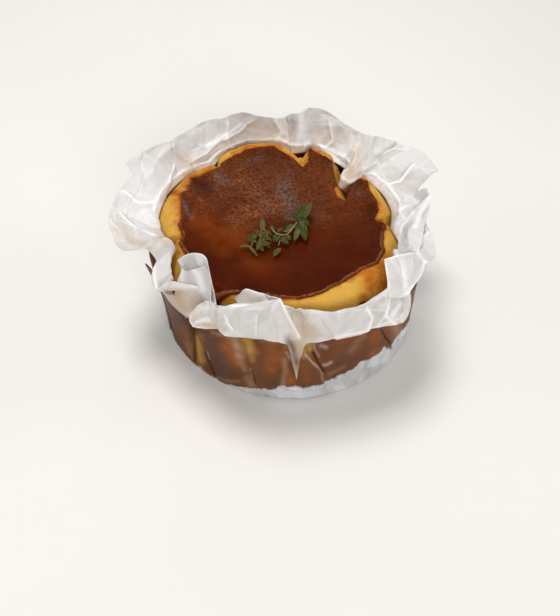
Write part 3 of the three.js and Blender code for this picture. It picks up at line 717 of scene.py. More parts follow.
def cheesecake():
    grid = cake_rows(np.arange(CAKE_COLUMNS) * 360 / CAKE_COLUMNS)
    x, y = grid[..., 0].copy(), grid[..., 1].copy()
    wobble = EDGE_WOBBLE * cloud(np.stack([x, y, 0 * x], -1), 3.2, 5, 3)
    edge = inside_outline(x + wobble, y + np.roll(wobble, 40, 1), CRUST_OUTLINE)
    on_top = smoothstep(grid[..., 2], CRUST_FROM, CRUST_FULL)
    front = smoothstep(-y, -10, 25)
    far = smoothstep(y, -18, 22)
    left = smoothstep(-x, 30, 44) * (1 - front)
    crust = smoothstep(edge, mix(-0.35, -0.6, front) - left, mix(0.35, 0.05, front) + 0.9 * left)
    crust *= on_top

    lip_noise = cloud(grid, 2.4, 21, 3) + 0.8 * cloud(grid, 1.1, 23, 2)
    lip = np.exp(-(((edge - LIP_INSET) / LIP_WIDTH) ** 2)) * (0.75 + 0.9 * lip_noise) * LIP_RISE
    blisters = np.clip(cloud(grid, 5.5, 33, 2) - 0.1, 0, 1) * far * BLISTER_HEIGHT
    grid[..., 2] += on_top * (np.clip(lip, -0.1, 1.4) * mix(0.5, 1.35, front))
    grain = PEBBLE_HEIGHT * cloud(grid, 1.6, 44, 2)
    grid[..., 2] += crust * (blisters + grain + WAVE_HEIGHT * cloud(grid, 14, 55, 2))
    grid[..., 2] += on_top * (1 - crust) * WAVE_HEIGHT * cloud(grid, 7, 66, 3)
    back = np.exp(-(((edge + BACK_OUTSET) / BACK_WIDTH) ** 2))
    grid[..., 2] += on_top * BACK_RISE * smoothstep(y, 15, 40) * back
    cut = slot_depth(x, y) * on_top
    grid[..., 2] -= cut

    px, py = picture_place(grid)
    near_edge = np.exp(-np.clip(-edge, 0, None) / (mix(1.7, 0.8, front) + 1.1 * left))
    toast = np.clip(0.9 * near_edge * (0.75 + 0.8 * cloud(grid, 6, 77, 2)), 0, 1)
    toast = np.maximum(toast, strokes(px, py, TOASTED, 0.6 * cloud(grid, 4, 88, 3)))
    in_front = smoothstep(-y, 0, 20)
    rim = np.exp(-(((edge - LIP_INSET) / LIP_LINE) ** 2)) * in_front
    rim *= np.clip(0.8 + 0.7 * lip_noise, 0, 1)
    # Painted shadow: a dark line just outside the front crust edge, under the raised lip
    lip_shadow = np.exp(-(((edge + 0.05) / 0.4) ** 2)) * in_front
    rough = 0.8 * cloud(grid, 4, 91, 3)
    attributes = {
        "crust": crust * (1 - smoothstep(cut, 0.6, 2.2)),
        "toast": toast * (1 - 0.65 * smoothstep(cut, 0.5, 3)),
        "rim": rim,
        "warm": strokes(px, py, WARM_CRUST, rough),
        # Darker crust patches, and the painted shadow line under the front lip
        "deep": np.maximum(strokes(px, py, DEEP_CRUST, rough), 0.85 * lip_shadow),
        # Grain over these marks and over the back of the crust, partly painted glints
        "grain": np.maximum(strokes(px, py, GRAIN_AND_GLINTS, rough), 0.4 * far),
        # Painted sheen on the crust
        "painted_sheen": strokes(px, py, PAINTED_SHEEN_MARKS, 1.2 * cloud(grid, 1.3, 92, 2)),
    }

    poles = [[0, 0, CAKE_BOTTOM], [0, 0, crust_top(0, 0) + 0.1]]
    vertices = np.concatenate([grid.reshape(-1, 3), poles])
    values = {k: np.concatenate([v.ravel(), [v[0, 0], v[-1].mean()]]) for k, v in attributes.items()}
    faces = closed_tube(grid.shape[0], CAKE_COLUMNS)
    obj = make_object("cheesecake_baked", vertices, faces, values, cake_material())
    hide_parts("cheesecake")


cheesecake()

# ---------------------------------------------------------------- baking paper

SHEET = 0.26  # the paper's thickness, fine crinkles included
AROUND = 2 * math.pi * TIN_RADIUS
TALL = 110  # more than the sheet's reach from the foot of the side to its edge
PAPER_COLUMNS, PAPER_SIDE_ROWS, CORNER_ROWS = 960, 72, 8
BASE_RINGS, FILLET_TURNS = (0.3, 0.6, 0.85), (-90, -60, -30)
LOW_ROWS, BEND_ROWS, HIGH_ROWS = 26, 7, 34

# Where the paper dips into the deepest slot, and how far from the cake it stays there
TUCK_AZIMUTH, TUCK_DEPTH, TUCK_CLEARANCE = 45.5, 16, 1.8
TUCK_WIDTHS, TUCK_FOOT, TUCK_TOP = (2.7, 6.2), (44, 50), (54, 62)
TUCK_STEPS = 60

# Crumple of the sheet: sizes of its facets with their seeds, and its depths on the collar and the side
CRUMPLES = ((14, 3), (7, 4), (3, 5))
COLLAR_DENTS, SIDE_DENTS = (2.1, 0.95, 0.22), (0.1, 0.16, 0.07)

# Where the corner folded down at the front left lets the side stay dry
DRY_FROM, DRY_TO, DRY_HEIGHT = (196, 212), (229.5, 230.5), 34
SOAKED_HEIGHT, SOAKED_EXTRA = 40.5, 25

# Height of the pale crumpled band at the foot of the side: azimuth, height
WHITE_BAND = [
    (0, 12), (20, 7), (45, 11), (70, 5), (95, 9), (120, 14), (150, 6), (180, 8), (205, 4), (217, 1.6),
    (227, 1.2), (238, 1.4), (244, 2.2), (252, 4.7), (258, 7.4), (263, 5.9), (267, 9.6), (275, 9.7),
    (284.5, 9.5), (289.5, 10.7), (292, 13.4), (296, 14.4), (301, 17.3), (306, 16.2), (310, 15.9),
    (314, 18.8), (318, 14), (321, 11.5), (325, 14.8), (334, 15), (347, 10),
]


def pleat_sink(azimuth, height):
    """How far the side lies behind its full radius, and how near a pleat's edge is, for a painted shadow
    line along it.
    """
    depth = np.zeros(np.shape(azimuth))
    line = np.zeros(np.shape(azimuth))
    nearest = np.full(np.shape(azimuth), FAR)
    for pleat, amount in zip(PLEATS, PLEAT_DEPTHS):
        heights, azimuths = zip(*pleat)
        at = np.interp(height, heights, azimuths)
        fade = 1 - smoothstep(height, heights[-1] + 1, heights[-1] + 7)
        since = (azimuth - at) % 360
        sink = amount * np.clip(since / 0.35, 0, 1) * np.clip(1 - since / PLEAT_FADE, 0, 1) * fade
        depth = np.where(since < nearest, sink, depth)
        nearest = np.minimum(nearest, since)
        edge = np.abs((azimuth - at + 180) % 360 - 180) * TIN_RADIUS * math.pi / 180
        line = np.maximum(line, np.exp(-((edge / 0.45) ** 2)) * fade * min(1, amount))
    return depth, line


def cake_height(radius, azimuth):
    """Height of the cake under a grid of places whose columns lie at the azimuths."""
    shoulders = (shoulder(azimuth, t) for t in np.linspace(0, 1, 24))
    radii, heights = (np.array(part) for part in zip(*shoulders))
    columns = [np.interp(radius[:, k], radii[:, k], heights[:, k]) for k in range(len(azimuth))]
    a = np.radians(azimuth)
    return np.stack(columns, 1) - slot_depth(radius * np.cos(a), radius * np.sin(a))


def tuck(azimuth, radius, height):
    """How far the sheet dips into the deepest slot, let out where it would press into the cake."""
    width = np.where(azimuth > TUCK_AZIMUTH, TUCK_WIDTHS[1], TUCK_WIDTHS[0])
    dip = np.exp(-(((azimuth - TUCK_AZIMUTH) / width) ** 2))
    dip = TUCK_DEPTH * (dip * smoothstep(height, *TUCK_FOOT) * (1 - smoothstep(height, *TUCK_TOP)))
    for _ in range(TUCK_STEPS):
        pressed = height < cake_height(radius - dip, azimuth) + TUCK_CLEARANCE
        dip = np.where(pressed, np.maximum(dip - TUCK_DEPTH / TUCK_STEPS, 0), dip)
    return dip


def thicken(grid, thickness, closed, pole=None):
    """Vertices and faces of a thin solid sheet about a grid, with a pole if it closes below."""
    rows, columns = grid.shape[:2]
    count = rows * columns
    half = sheet_normals(grid, closed) * thickness / 2
    vertices = [(grid + half).reshape(-1, 3), (grid - half).reshape(-1, 3)]
    quads = grid_quads(rows, columns, closed)
    faces = [quads, quads[:, ::-1] + count]
    ring = np.arange(columns if closed else columns - 1)
    after = (ring + 1) % columns
    top = (rows - 1) * columns
    faces.append(np.stack([top + ring, top + after, top + after + count, top + ring + count], 1))
    if pole is None:
        faces.append(np.stack([ring, ring + count, after + count, after], 1))
    else:
        vertices.append([[0, 0, pole - thickness / 2], [0, 0, pole + thickness / 2]])
        faces.append(np.stack([np.full(columns, 2 * count), after, ring], 1))
        faces.append(np.stack([np.full(columns, 2 * count + 1), ring + count, after + count], 1))
    if not closed:
        left = np.arange(rows - 1) * columns
        right = left + columns - 1
        faces.append(np.stack([left, left + columns, left + columns + count, left + count], 1))
        faces.append(np.stack([right, right + count, right + columns + count, right + columns], 1))
    return np.concatenate(vertices), faces


def paper_sheet(name, grid, attributes, closed, pole=None):
    vertices, faces = thicken(grid, SHEET, closed, pole)
    values = {}
    for key, value in attributes.items():
        spare = len(vertices) - 2 * value.size
        values[key] = np.concatenate([value.ravel(), value.ravel(), np.full(spare, value[0, 0])])
    return make_object(name, vertices, faces, values, PAPER)


# Shaded and lit paper colours for the painted shading of its facets; the crease white is a painted
# highlight, partly the paper whitened where creased
PAPER_SHADED, PAPER_LIT, CREASE_HIGHLIGHT_WHITE = (0.71, 0.68, 0.66), (0.93, 0.925, 0.93), (0.98, 0.98, 0.99)
# Beige, partly grease stain and partly painted shade; the shade brown paints shadows along folds
BEIGE, SHADE_BROWN, THROUGH_LIGHT = (0.7, 0.5, 0.31), (0.42, 0.38, 0.35), (0.85, 0.81, 0.76, 1)
# The pale band's shaded and lit colours for its painted facet shading, and a painted highlight on its
# creases
BAND_SHADED, BAND_LIT, BAND_CREASE_HIGHLIGHT = (0.37, 0.365, 0.36), (0.64, 0.66, 0.69), (0.84, 0.87, 0.92)
SIDE_BROWN, SIDE_TAN, SIDE_DUST, SIDE_BLUSH = (
    (0.1, 0.033, 0.012), (0.18, 0.068, 0.03), (0.14, 0.068, 0.036), (0.22, 0.062, 0.018)
)
SMOKE, RUST = (0.085, 0.045, 0.028), (0.3, 0.088, 0.018)
AMBER, OCHRE = (0.52, 0.26, 0.045), (0.38, 0.24, 0.07)
# On the soaked side: the tan is real colour, the pale colour a painted highlight along pleat edges with a
# few real flakes, the crease tan a faint painted highlight, and the pleat colour painted shadow lines
TAN, PLEAT_HIGHLIGHT_PALE, CREASE_HIGHLIGHT_TAN, PLEAT_SHADOW = (
    (0.44, 0.27, 0.155), (0.58, 0.46, 0.38), (0.4, 0.24, 0.16), (0.04, 0.009, 0.002)
)


def paper_material():
    m = Nodes("baking_paper")
    dark, crease, tone = m.attribute("dark"), m.attribute("crease"), m.attribute("tone")
    cloudy = m.noise(55, 4, 0.6)
    fibre = m.noise(1400, 2, 0.6)
    streaks = m.noise(90, 4, 0.6, stretch=(1, 1, 0.22))
    blush = m.noise(210, 3, 0.65, stretch=(1, 1, 0.4))
    bump = m.bump(m.math("ADD", m.noise(420, 4, 0.6), m.math("MULTIPLY", fibre, 0.35)), 0.00025, 0.6)

    # Painted shading of the facets: the tone from each facet's slant, with a random drift, runs from
    # shaded grey to lit white
    tone = m.math("ADD", tone, m.ramp(cloudy, 0.3, 0.7, -0.15, 0.15), clamp=True)
    white = m.blend(tone, PAPER_SHADED, PAPER_LIT)
    # Painted highlights along creases and fold edges, partly the paper whitened where creased
    white = m.blend(crease, white, CREASE_HIGHLIGHT_WHITE)
    # Beige, partly grease stain and partly painted shade
    white = m.blend(m.attribute("stain_and_shade"), white, BEIGE)
    white = m.blend(m.math("MULTIPLY", dark, 0.6), white, SHADE_BROWN)
    white_rough = m.ramp(cloudy, 0.3, 0.7, 0.4, 0.54)
    dry = m.set(Base_Color=white, Roughness=white_rough, Normal=bump, Specular_IOR_Level=0.5)
    through = m.add("ShaderNodeBsdfTranslucent", {"Color": THROUGH_LIGHT}).outputs[0]
    sheer = m.math("SUBTRACT", 0.3, m.math("MULTIPLY", crease, 0.3), clamp=True)
    dry = m.layer(sheer, dry, through)

    brown = m.blend(m.ramp(streaks, 0.3, 0.72), SIDE_BROWN, SIDE_TAN)
    brown = m.blend(m.ramp(cloudy, 0.45, 0.75, 0, 0.6), brown, SIDE_DUST)
    brown = m.blend(m.ramp(blush, 0.56, 0.8, 0, 0.5), brown, SIDE_BLUSH)
    brown = m.blend(m.attribute("smoke"), brown, SMOKE)
    brown = m.blend(m.attribute("rust"), brown, RUST)
    brown = m.blend(m.attribute("yellow"), brown, m.blend(m.ramp(streaks, 0.35, 0.65), AMBER, OCHRE))
    brown = m.blend(m.attribute("tan"), brown, TAN)
    # Painted highlights along the pleats' edges, and a few real pale flakes
    brown = m.blend(m.attribute("pleat_highlight_and_flakes"), brown, PLEAT_HIGHLIGHT_PALE)
    # A faint painted highlight along the creases of the soaked side
    brown = m.blend(m.math("MULTIPLY", crease, 0.1), brown, CREASE_HIGHLIGHT_TAN)
    # Painted shadow lines along the pleats and under the hems
    brown = m.blend(dark, brown, PLEAT_SHADOW)
    brown_rough = m.ramp(streaks, 0.3, 0.7, 0.36, 0.5)
    wet = m.coat_of(Base_Color=brown, Roughness=brown_rough, Normal=bump, Specular_IOR_Level=0.06)

    # The band's painted facet shading, from shaded grey to lit white, with painted highlights on its
    # creases
    band = m.blend(tone, BAND_SHADED, BAND_LIT)
    band = m.blend(m.math("MULTIPLY", crease, 0.4), band, BAND_CREASE_HIGHLIGHT)
    foot = m.coat_of(Base_Color=band, Roughness=0.5, Normal=bump, Specular_IOR_Level=0.3)
    m.surface(m.layer(m.attribute("pale"), m.layer(m.attribute("greasy"), dry, wet), foot))
    return m.material


def sheet_rows(azimuth, free):
    """Radius and height of the sheet, in rows from its base to its edge.

    Also gives the side's first row and the row at the collar's foot. The sheet hugs the cake's
    shoulder where free is 0, and stands off it where free is 1.
    """
    low, low_lean, high, high_lean = (round_table(FOLDS, azimuth, k) for k in (1, 2, 3, 4))
    ease = EASE_OUT * free * (1 - free)
    start = mix(lobe(azimuth, 3) + 1.5, LOOSE_FROM, free)
    base, level = SOLID_PAPER / 2, np.ones(len(azimuth))

    def side(height):
        return PAPER_SIDE - pleat_sink(azimuth, height)[0] + side_swell(azimuth, height)

    rows = [(share * PAPER_SIDE * level, base * level) for share in BASE_RINGS]
    for turn in np.radians(FILLET_TURNS):
        radius = PAPER_SIDE - BASE_FILLET * (1 - math.cos(turn))
        rows.append((radius * level, (base + BASE_FILLET * (1 + math.sin(turn))) * level))
    side_from = len(rows)
    for share in np.linspace(0, 1, PAPER_SIDE_ROWS):
        height = mix(base + BASE_FILLET, start, share)
        rows.append((side(height), height))
    rows[-1] = rows[-1][0] + ease, rows[-1][1]

    corners = [rows[-1]]
    for t, upright in ((0.76, OPEN_MIDDLE), (0.48, OPEN_FOOT)):
        here, ahead = shoulder(azimuth, t), shoulder(azimuth, t - 0.05)
        slope = np.arctan2(here[1] - ahead[1], here[0] - ahead[0])
        offset = SHEET / 2 + REST_GAP
        hug = here[0] - np.sin(slope) * offset, here[1] + np.cos(slope) * offset
        stand = side(upright * level), upright * level
        corners.append((mix(hug[0], stand[0], free) + ease, mix(hug[1], stand[1], free)))
    for (r0, h0), (r1, h1) in zip(corners, corners[1:]):
        for share in np.linspace(0, 1, CORNER_ROWS + 1)[1:]:
            rows.append((mix(r0, r1, share), mix(h0, h1, share)))

    foot_row = len(rows) - 1
    radius, height = rows[-1]
    leans = [low_lean] * LOW_ROWS
    leans += [mix(low_lean, high_lean, (k + 0.5) / BEND_ROWS) for k in range(BEND_ROWS)]
    leans += [high_lean] * HIGH_ROWS
    lengths = [low / LOW_ROWS] * LOW_ROWS + [BEND_LENGTH / BEND_ROWS] * BEND_ROWS
    lengths += [high / HIGH_ROWS] * HIGH_ROWS
    for lean, length in zip(leans, lengths):
        radius = radius + length * np.sin(np.radians(lean))
        height = height + length * np.cos(np.radians(lean))
        rows.append((radius, height))
    radius, height = (np.array(part) for part in zip(*rows))
    return radius, height, side_from, foot_row


def parchment():
    azimuth = np.arange(PAPER_COLUMNS) * 360 / PAPER_COLUMNS
    rising = smoothstep(azimuth, FREE_FROM, FREE_FROM + FREE_BLEND)
    free = rising * (1 - smoothstep(azimuth, FREE_TO - FREE_BLEND, FREE_TO))
    r, z, side_from, foot_row = sheet_rows(azimuth, free)
    r = r - tuck(azimuth, r, z)
    az = np.broadcast_to(azimuth, r.shape)
    a = np.radians(az)
    grid = np.stack([r * np.cos(a), r * np.sin(a), z], -1)

    # Distance along the sheet, from the side's foot for the crumple and from the collar's foot up
    step = np.hypot(np.diff(r, axis=0), np.diff(z, axis=0))
    along = np.concatenate([np.zeros((1, PAPER_COLUMNS)), np.cumsum(step, 0)])
    along = along - along[side_from][None, :]
    up = along - along[foot_row][None, :]
    past = up / np.maximum(up[-1][None, :], 1)
    standing = smoothstep(up, -0.5, 4)
    on_side = smoothstep(z, 1.5, 4) * (1 - standing)

    # Crumple, in facets of three sizes, with the pressed folds of the collar
    u, v = az / 360 * AROUND, np.clip(along, 0, TALL - 1)
    coarse, middle, small = (creased_field(AROUND, TALL, *crumple) for crumple in CRUMPLES)
    depths = [read_field(field, u, v) for field in (coarse, middle, small)]
    _, d_middle, d_small = depths
    band = round_table(WHITE_BAND, az, 1) + 1.6 * cloud(grid, 4, 61, 3) + 1.3 * cloud(grid, 1.6, 64, 2)
    pale = smoothstep(band - z, -0.25, 0.45) * (1 - standing) * smoothstep(r, 57.5, 58.5)
    _, pleat_shadow_line = pleat_sink(az, z)
    folds, fold_edge_highlight = pressed_folds(az, up)
    resting = smoothstep(up, -7, -1) * (1 - smoothstep(up, 0.5, 5)) * (1 - free[None, :])
    dents = standing * sum(amount * depth for amount, depth in zip(COLLAR_DENTS, depths))
    dents -= folds * smoothstep(up, -1, 2)
    dents += resting * (0.1 * (1 + d_middle) + 0.05 * (1 + d_small))
    dents += on_side * sum(amount * depth for amount, depth in zip(SIDE_DENTS, depths))
    dents += pale * (0.4 * d_middle + 0.5 * d_small + 0.35) * smoothstep(z, 0.6, 2.5)
    grid = grid + sheet_normals(grid, True) * dents[..., None]
    grid[..., 2] = np.maximum(grid[..., 2], SHEET / 2 + 0.02)

    # Colouring: where the cake's fat has soaked the sheet, stains with painted shade, painted highlights
    # on creases and fold edges, painted shadow lines at the pleats and painted facet shading
    foot_noise = cloud(grid, 9, 71, 3)
    beside_tuck = smoothstep(np.abs(az - TUCK_AZIMUTH), 12, 18)
    edge_height = SOAKED_HEIGHT + 2.2 * foot_noise + SOAKED_EXTRA * (1 - free) * beside_tuck
    dry_corner = smoothstep(az, *DRY_FROM) * (1 - smoothstep(az, *DRY_TO))
    edge_height = mix(edge_height, DRY_HEIGHT + 1.2 * foot_noise, dry_corner)
    greasy = 1 - smoothstep(z, edge_height - 0.6, edge_height + 0.8)
    greasy = greasy * (1 - smoothstep(past, -0.02, 0.02))
    # Painted shadow lines along the pleats' edges on the soaked side
    hidden = smoothstep(az, 200, 190) + smoothstep(az, 344, 354)
    dark = np.clip(pleat_shadow_line * (z < 39) * mix(0.35, 0.8, hidden), 0, 1) * greasy
    # Beige low on the collar, partly grease stain and partly painted shade
    stain_and_shade = np.clip(0.3 - past * 2.4 + 0.4 * foot_noise, 0, 0.35) * (1 - greasy)
    # Painted highlights along the stronger creases and the fold edges, partly the paper whitened where
    # creased
    crease = 0.32 * read_field(bends(coarse) + 0.6 * bends(middle), u, v)
    crease = np.clip(crease + fold_edge_highlight, 0, 1) * (0.45 + 0.55 * standing)
    # Painted shading: each facet lighter or darker by which way it slants
    slant = read_field(slants(coarse) + slants(middle) + 0.5 * slants(small), u, v)
    attributes = paper_tints(grid, greasy, stain_and_shade, crease, np.clip(0.5 + 0.34 * slant, 0, 1))
    attributes["pale"] = pale
    attributes["dark"] = np.maximum(attributes["dark"], dark)
    obj = paper_sheet("parchment_sheet", grid, attributes, True, pole=SOLID_PAPER / 2)
    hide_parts("parchment")


# Patches on the soaked side that the photograph doesn't reach: pigment, seed, amount
HIDDEN_PATCHES = [("yellow", 81, 0.55), ("rust", 84, 0.6), ("smoke", 87, 0.6)]
TALL_PATCHES = (1, 1, 0.35)
SHARP_MARKS = ("dark", "pleat_highlight_and_flakes")


def paper_tints(grid, greasy, stain_and_shade, crease, tone):
    """The paper's colouring at a grid of points, with the marks that show in the photograph, painted
    highlights, shade and shadow lines among them.
    """
    px, py = picture_place(grid)
    y = grid[..., 1]
    rough = 0.6 * cloud(grid, 3.5, 72, 3)
    drift = [2.2 * cloud(grid, 7, 73, 3), 2.2 * cloud(grid, 7, 76, 3)]
    tints = {"greasy": greasy, "pale": 0 * px, "tone": tone}
    for pigment, marks in SIDE_MARKS.items():
        loose = pigment not in SHARP_MARKS
        mark = strokes(px + loose * drift[0], py + loose * drift[1], marks, loose * rough)
        tints[pigment] = mark * ((greasy > 0) & (y < 20))
    for pigment, seed, amount in HIDDEN_PATCHES:
        patches = smoothstep(cloud(grid * TALL_PATCHES, 11, seed, 3), 0.12, 0.5)
        patches = amount * smoothstep(y, 5, 30) * (greasy > 0) * patches
        tints[pigment] = np.maximum(tints[pigment], patches)
    tints["greasy"] = np.maximum(greasy, strokes(px, py, SOAKED_TAIL, rough) * (y < -60))
    # Beige places, partly grease stain and partly painted shade
    tints["stain_and_shade"] = np.maximum(stain_and_shade, strokes(px, py, STAINS_AND_SHADE, rough))
    # Painted highlights along the folds
    tints["crease"] = np.maximum(crease, strokes(px, py, FOLD_HIGHLIGHTS))
    tints["dark"] = np.maximum(tints["dark"], strokes(px, py, SHADED_FOLDS) * (1 - greasy))
    return tints


# Marks on the soaked side, in the photograph: each a line of pixels, a width and an amount
SIDE_MARKS = {
    "smoke": [
        ([(207, 338), (213, 346)], 6, 0.7), ([(214, 350), (221, 373)], 9, 0.85),
        ([(230, 362), (233, 379)], 6, 0.6), ([(262, 375), (276, 383)], 8, 0.4),
        ([(350, 352), (336, 368)], 9, 0.45), ([(362, 345)], 6, 0.35),
        ([(186, 300), (192, 318)], 5, 0.4),
    ],
    "yellow": [
        ([(197, 337), (199, 348), (201, 360)], 4, 0.9), ([(203, 351), (203, 360)], 2.5, 0.4),
        ([(243, 334), (247, 342), (250, 350)], 5, 0.75), ([(250, 350), (252, 360)], 3, 0.45),
        ([(226, 331), (244, 335)], 3, 0.45), ([(305, 338), (308, 349)], 6, 0.85),
        ([(315, 354), (318, 363)], 2, 0.3), ([(322, 372), (325, 381)], 2, 0.5),
    ],
    "rust": [
        ([(226, 345), (232, 352), (237, 363)], 6, 0.75), ([(250, 339), (256, 351)], 4.5, 0.75),
        ([(273, 346), (276, 357), (270, 367)], 8, 0.6), ([(288, 344), (283, 352)], 5, 0.5),
        ([(288, 371), (292, 382)], 4.5, 0.6), ([(310, 352), (316, 362)], 5, 0.7),
        ([(303, 366), (307, 379)], 5.5, 0.35), ([(345, 338), (353, 342)], 8, 0.35),
        ([(380, 329), (374, 339)], 7, 0.4), ([(373, 353), (380, 350)], 4, 0.6),
        ([(185, 330), (190, 350)], 6, 0.3), ([(201, 363), (210, 373)], 4.5, 0.45),
        ([(395, 327)], 7, 0.3),
    ],
    "tan": [
        ([(233, 338), (238, 347), (241, 356)], 4.5, 0.65), ([(241, 356), (244, 369)], 3.5, 0.4),
        ([(246, 378), (253, 385)], 4, 0.35), ([(284, 360), (285, 372), (283, 385)], 3, 0.35),
        # Painted highlights on hem edges: the thin run along y 341 here and the one from (232, 340) to
        # (212, 333) below; the other tan marks are real colour
        ([(262, 341), (281, 341)], 1.4, 0.4), ([(395, 324), (399, 336)], 6, 0.35),
        ([(350, 351), (363, 335)], 4, 0.2), ([(232, 340), (225, 335), (212, 333)], 2.2, 0.4),
        ([(408, 292), (406, 308)], 4, 0.3), ([(215, 376), (225, 380), (240, 382)], 1.8, 0.3),
        ([(330, 374), (345, 366)], 2, 0.2), ([(288, 344), (292, 350), (290, 357)], 4, 0.55),
        ([(187, 345), (193, 358)], 2, 0.25), ([(300, 349), (303, 356)], 3, 0.45),
    ],
    # Painted highlights along the pleats' edges, with a few real pale flakes of paper
    "pleat_highlight_and_flakes": [
        ([(314, 343), (315, 350), (319, 356)], 0.8, 0.4), ([(207.5, 352), (209.5, 359)], 0.7, 0.5),
        ([(250.5, 369), (253, 377)], 0.7, 0.4),
        ([(305, 354), (312, 362), (320, 369), (322, 374)], 0.8, 0.65),
        ([(323, 375), (324, 382)], 0.9, 0.6), ([(378.5, 326), (380, 328)], 1, 0.6),
        ([(321, 345.5), (326, 347)], 2, 0.4), ([(323, 365), (327, 364.5), (331, 362)], 1.5, 0.5),
        ([(286, 352), (290, 357)], 1, 0.4), ([(193, 363), (205, 372), (216, 379)], 0.8, 0.35),
    ],
    # dark: painted shadow lines along the pleats and under the hems
    "dark": [
        ([(193, 320), (194.5, 340), (195, 361)], 1.8, 0.95), ([(190, 328), (193, 341)], 2.4, 0.8),
        ([(206, 353), (210, 364), (216, 377)], 1.4, 0.95), ([(251.5, 371), (256, 383)], 1, 0.85),
        ([(313, 352), (318, 362), (323, 371)], 2, 0.97), ([(323.5, 375), (324.5, 382)], 1.3, 0.85),
        ([(379.5, 327), (384, 335), (389.5, 343)], 1.1, 1.0), ([(255, 338), (258, 349)], 3, 0.35),
        ([(176, 306), (184, 318), (190, 327)], 3.2, 0.6),
        ([(163, 300), (169, 318), (173, 337)], 2, 0.4), ([(198, 329), (215, 335)], 1.8, 0.5),
        ([(303, 335), (333, 338.5)], 1.1, 0.7), ([(346, 346), (352, 341)], 4, 0.2),
        ([(258, 338), (275, 341.5), (300, 342)], 1.0, 0.6), ([(207, 366), (214, 378)], 3, 0.4),
    ],
}

# Beige places of the dry paper, partly grease stain and partly painted shade, and painted highlights and
# painted shadows along its folds, in the photograph
STAINS_AND_SHADE = [
    ([(255, 126), (286, 141)], 13, 0.38), ([(316, 136), (345, 137)], 10, 0.3),
    ([(357, 150), (358, 174)], 7, 0.5), ([(182, 160), (197, 164)], 7, 0.4),
    ([(205, 160), (235, 142)], 5, 0.3), ([(160, 237), (169, 243)], 4, 0.6),
    ([(386, 198), (392, 215)], 6, 0.35), ([(352, 170), (346, 181), (342, 190)], 6, 0.75),
    ([(112, 228), (150, 251)], 7, 0.3), ([(176, 297), (188, 309)], 10, 0.85),
    ([(197, 297), (191, 306)], 5, 0.7), ([(298, 314), (303, 327), (309, 333)], 9, 0.7),
    ([(318, 334), (331, 337)], 2.5, 0.5), ([(298, 346), (298, 379)], 8, 1.0),
    ([(248, 296), (262, 301)], 6, 0.35), ([(204, 324), (224, 328)], 3, 0.55), ([(272, 326)], 7, 0.12),
    ([(370, 306), (384, 300)], 3, 0.2),
]
# Painted highlights along the folds and ridges of the dry paper
FOLD_HIGHLIGHTS = [
    ([(192, 151), (215, 142), (241, 124)], 1.6, 0.9), ([(302, 111), (301, 136)], 4.5, 0.9),
    ([(173, 150), (175, 157), (174, 166), (170, 180), (163, 195)], 1.5, 0.9),
    ([(280, 299), (299, 337)], 1.6, 1.0), ([(225, 316), (227, 322), (232, 329)], 1.3, 1.0),
    ([(256.5, 314), (256, 336)], 1, 0.7), ([(190, 312), (189.5, 322), (194, 327)], 1.6, 1.0),
    ([(197, 322), (208, 318.5)], 2.4, 1.0), ([(154, 262), (155, 280), (157, 289)], 1.8, 0.9),
    ([(178, 260), (183, 265), (182, 280)], 1.6, 0.8), ([(400, 304), (392, 316)], 3, 0.9),
    ([(206, 301), (216, 305), (238, 306), (266, 301)], 1.2, 0.7),
    ([(191, 313), (189.5, 320), (193, 327), (207, 329)], 1.2, 1.0),
    ([(209, 318), (202, 319), (196, 324)], 1.6, 0.9), ([(279, 298), (268, 296), (246, 289)], 1.0, 0.9),
    ([(301, 338.5), (293, 322), (281, 299)], 1.2, 1.0),
    ([(384, 259.5), (398, 255.5), (419, 251)], 1.4, 0.9), ([(386, 263), (389, 288)], 1.4, 0.7),
    ([(417, 252), (425, 262), (419, 279), (407, 294)], 2, 0.9), ([(402, 262), (405, 284)], 3, 0.6),
    ([(430, 196), (421, 212), (415, 227)], 3, 0.8), ([(334, 337.5), (370, 330), (398, 318)], 1.2, 0.8),
    ([(192, 268), (199, 275), (203, 290)], 4, 0.8),
    ([(178, 259), (190, 253), (198, 252.5), (206, 258)], 1.3, 1.0),
    ([(414, 212), (401, 228), (399, 239)], 1.4, 0.9),
]
SOAKED_TAIL = [([(288, 338), (294, 351), (298, 368)], 4, 0.6)]
SHADED_FOLDS = [
    ([(287, 343), (293, 352), (296, 364)], 3.5, 0.8), ([(300, 362), (301, 374)], 1.5, 0.5),
    ([(170, 147), (176, 155), (184, 161)], 1.2, 0.5),
    ([(184, 161), (190, 162.5), (192, 167)], 0.9, 0.9),
    ([(311, 122.5), (328, 121.5), (337, 118)], 0.9, 0.4), ([(321, 319), (334, 337)], 0.9, 0.6),
    ([(340, 160.5), (349, 164)], 1, 0.9), ([(205, 312), (222, 310), (250, 311), (266, 310)], 0.9, 0.3),
    ([(201, 297), (202, 300), (204, 303)], 2.6, 1.0), ([(186, 265), (191, 273)], 1.5, 0.4),
]


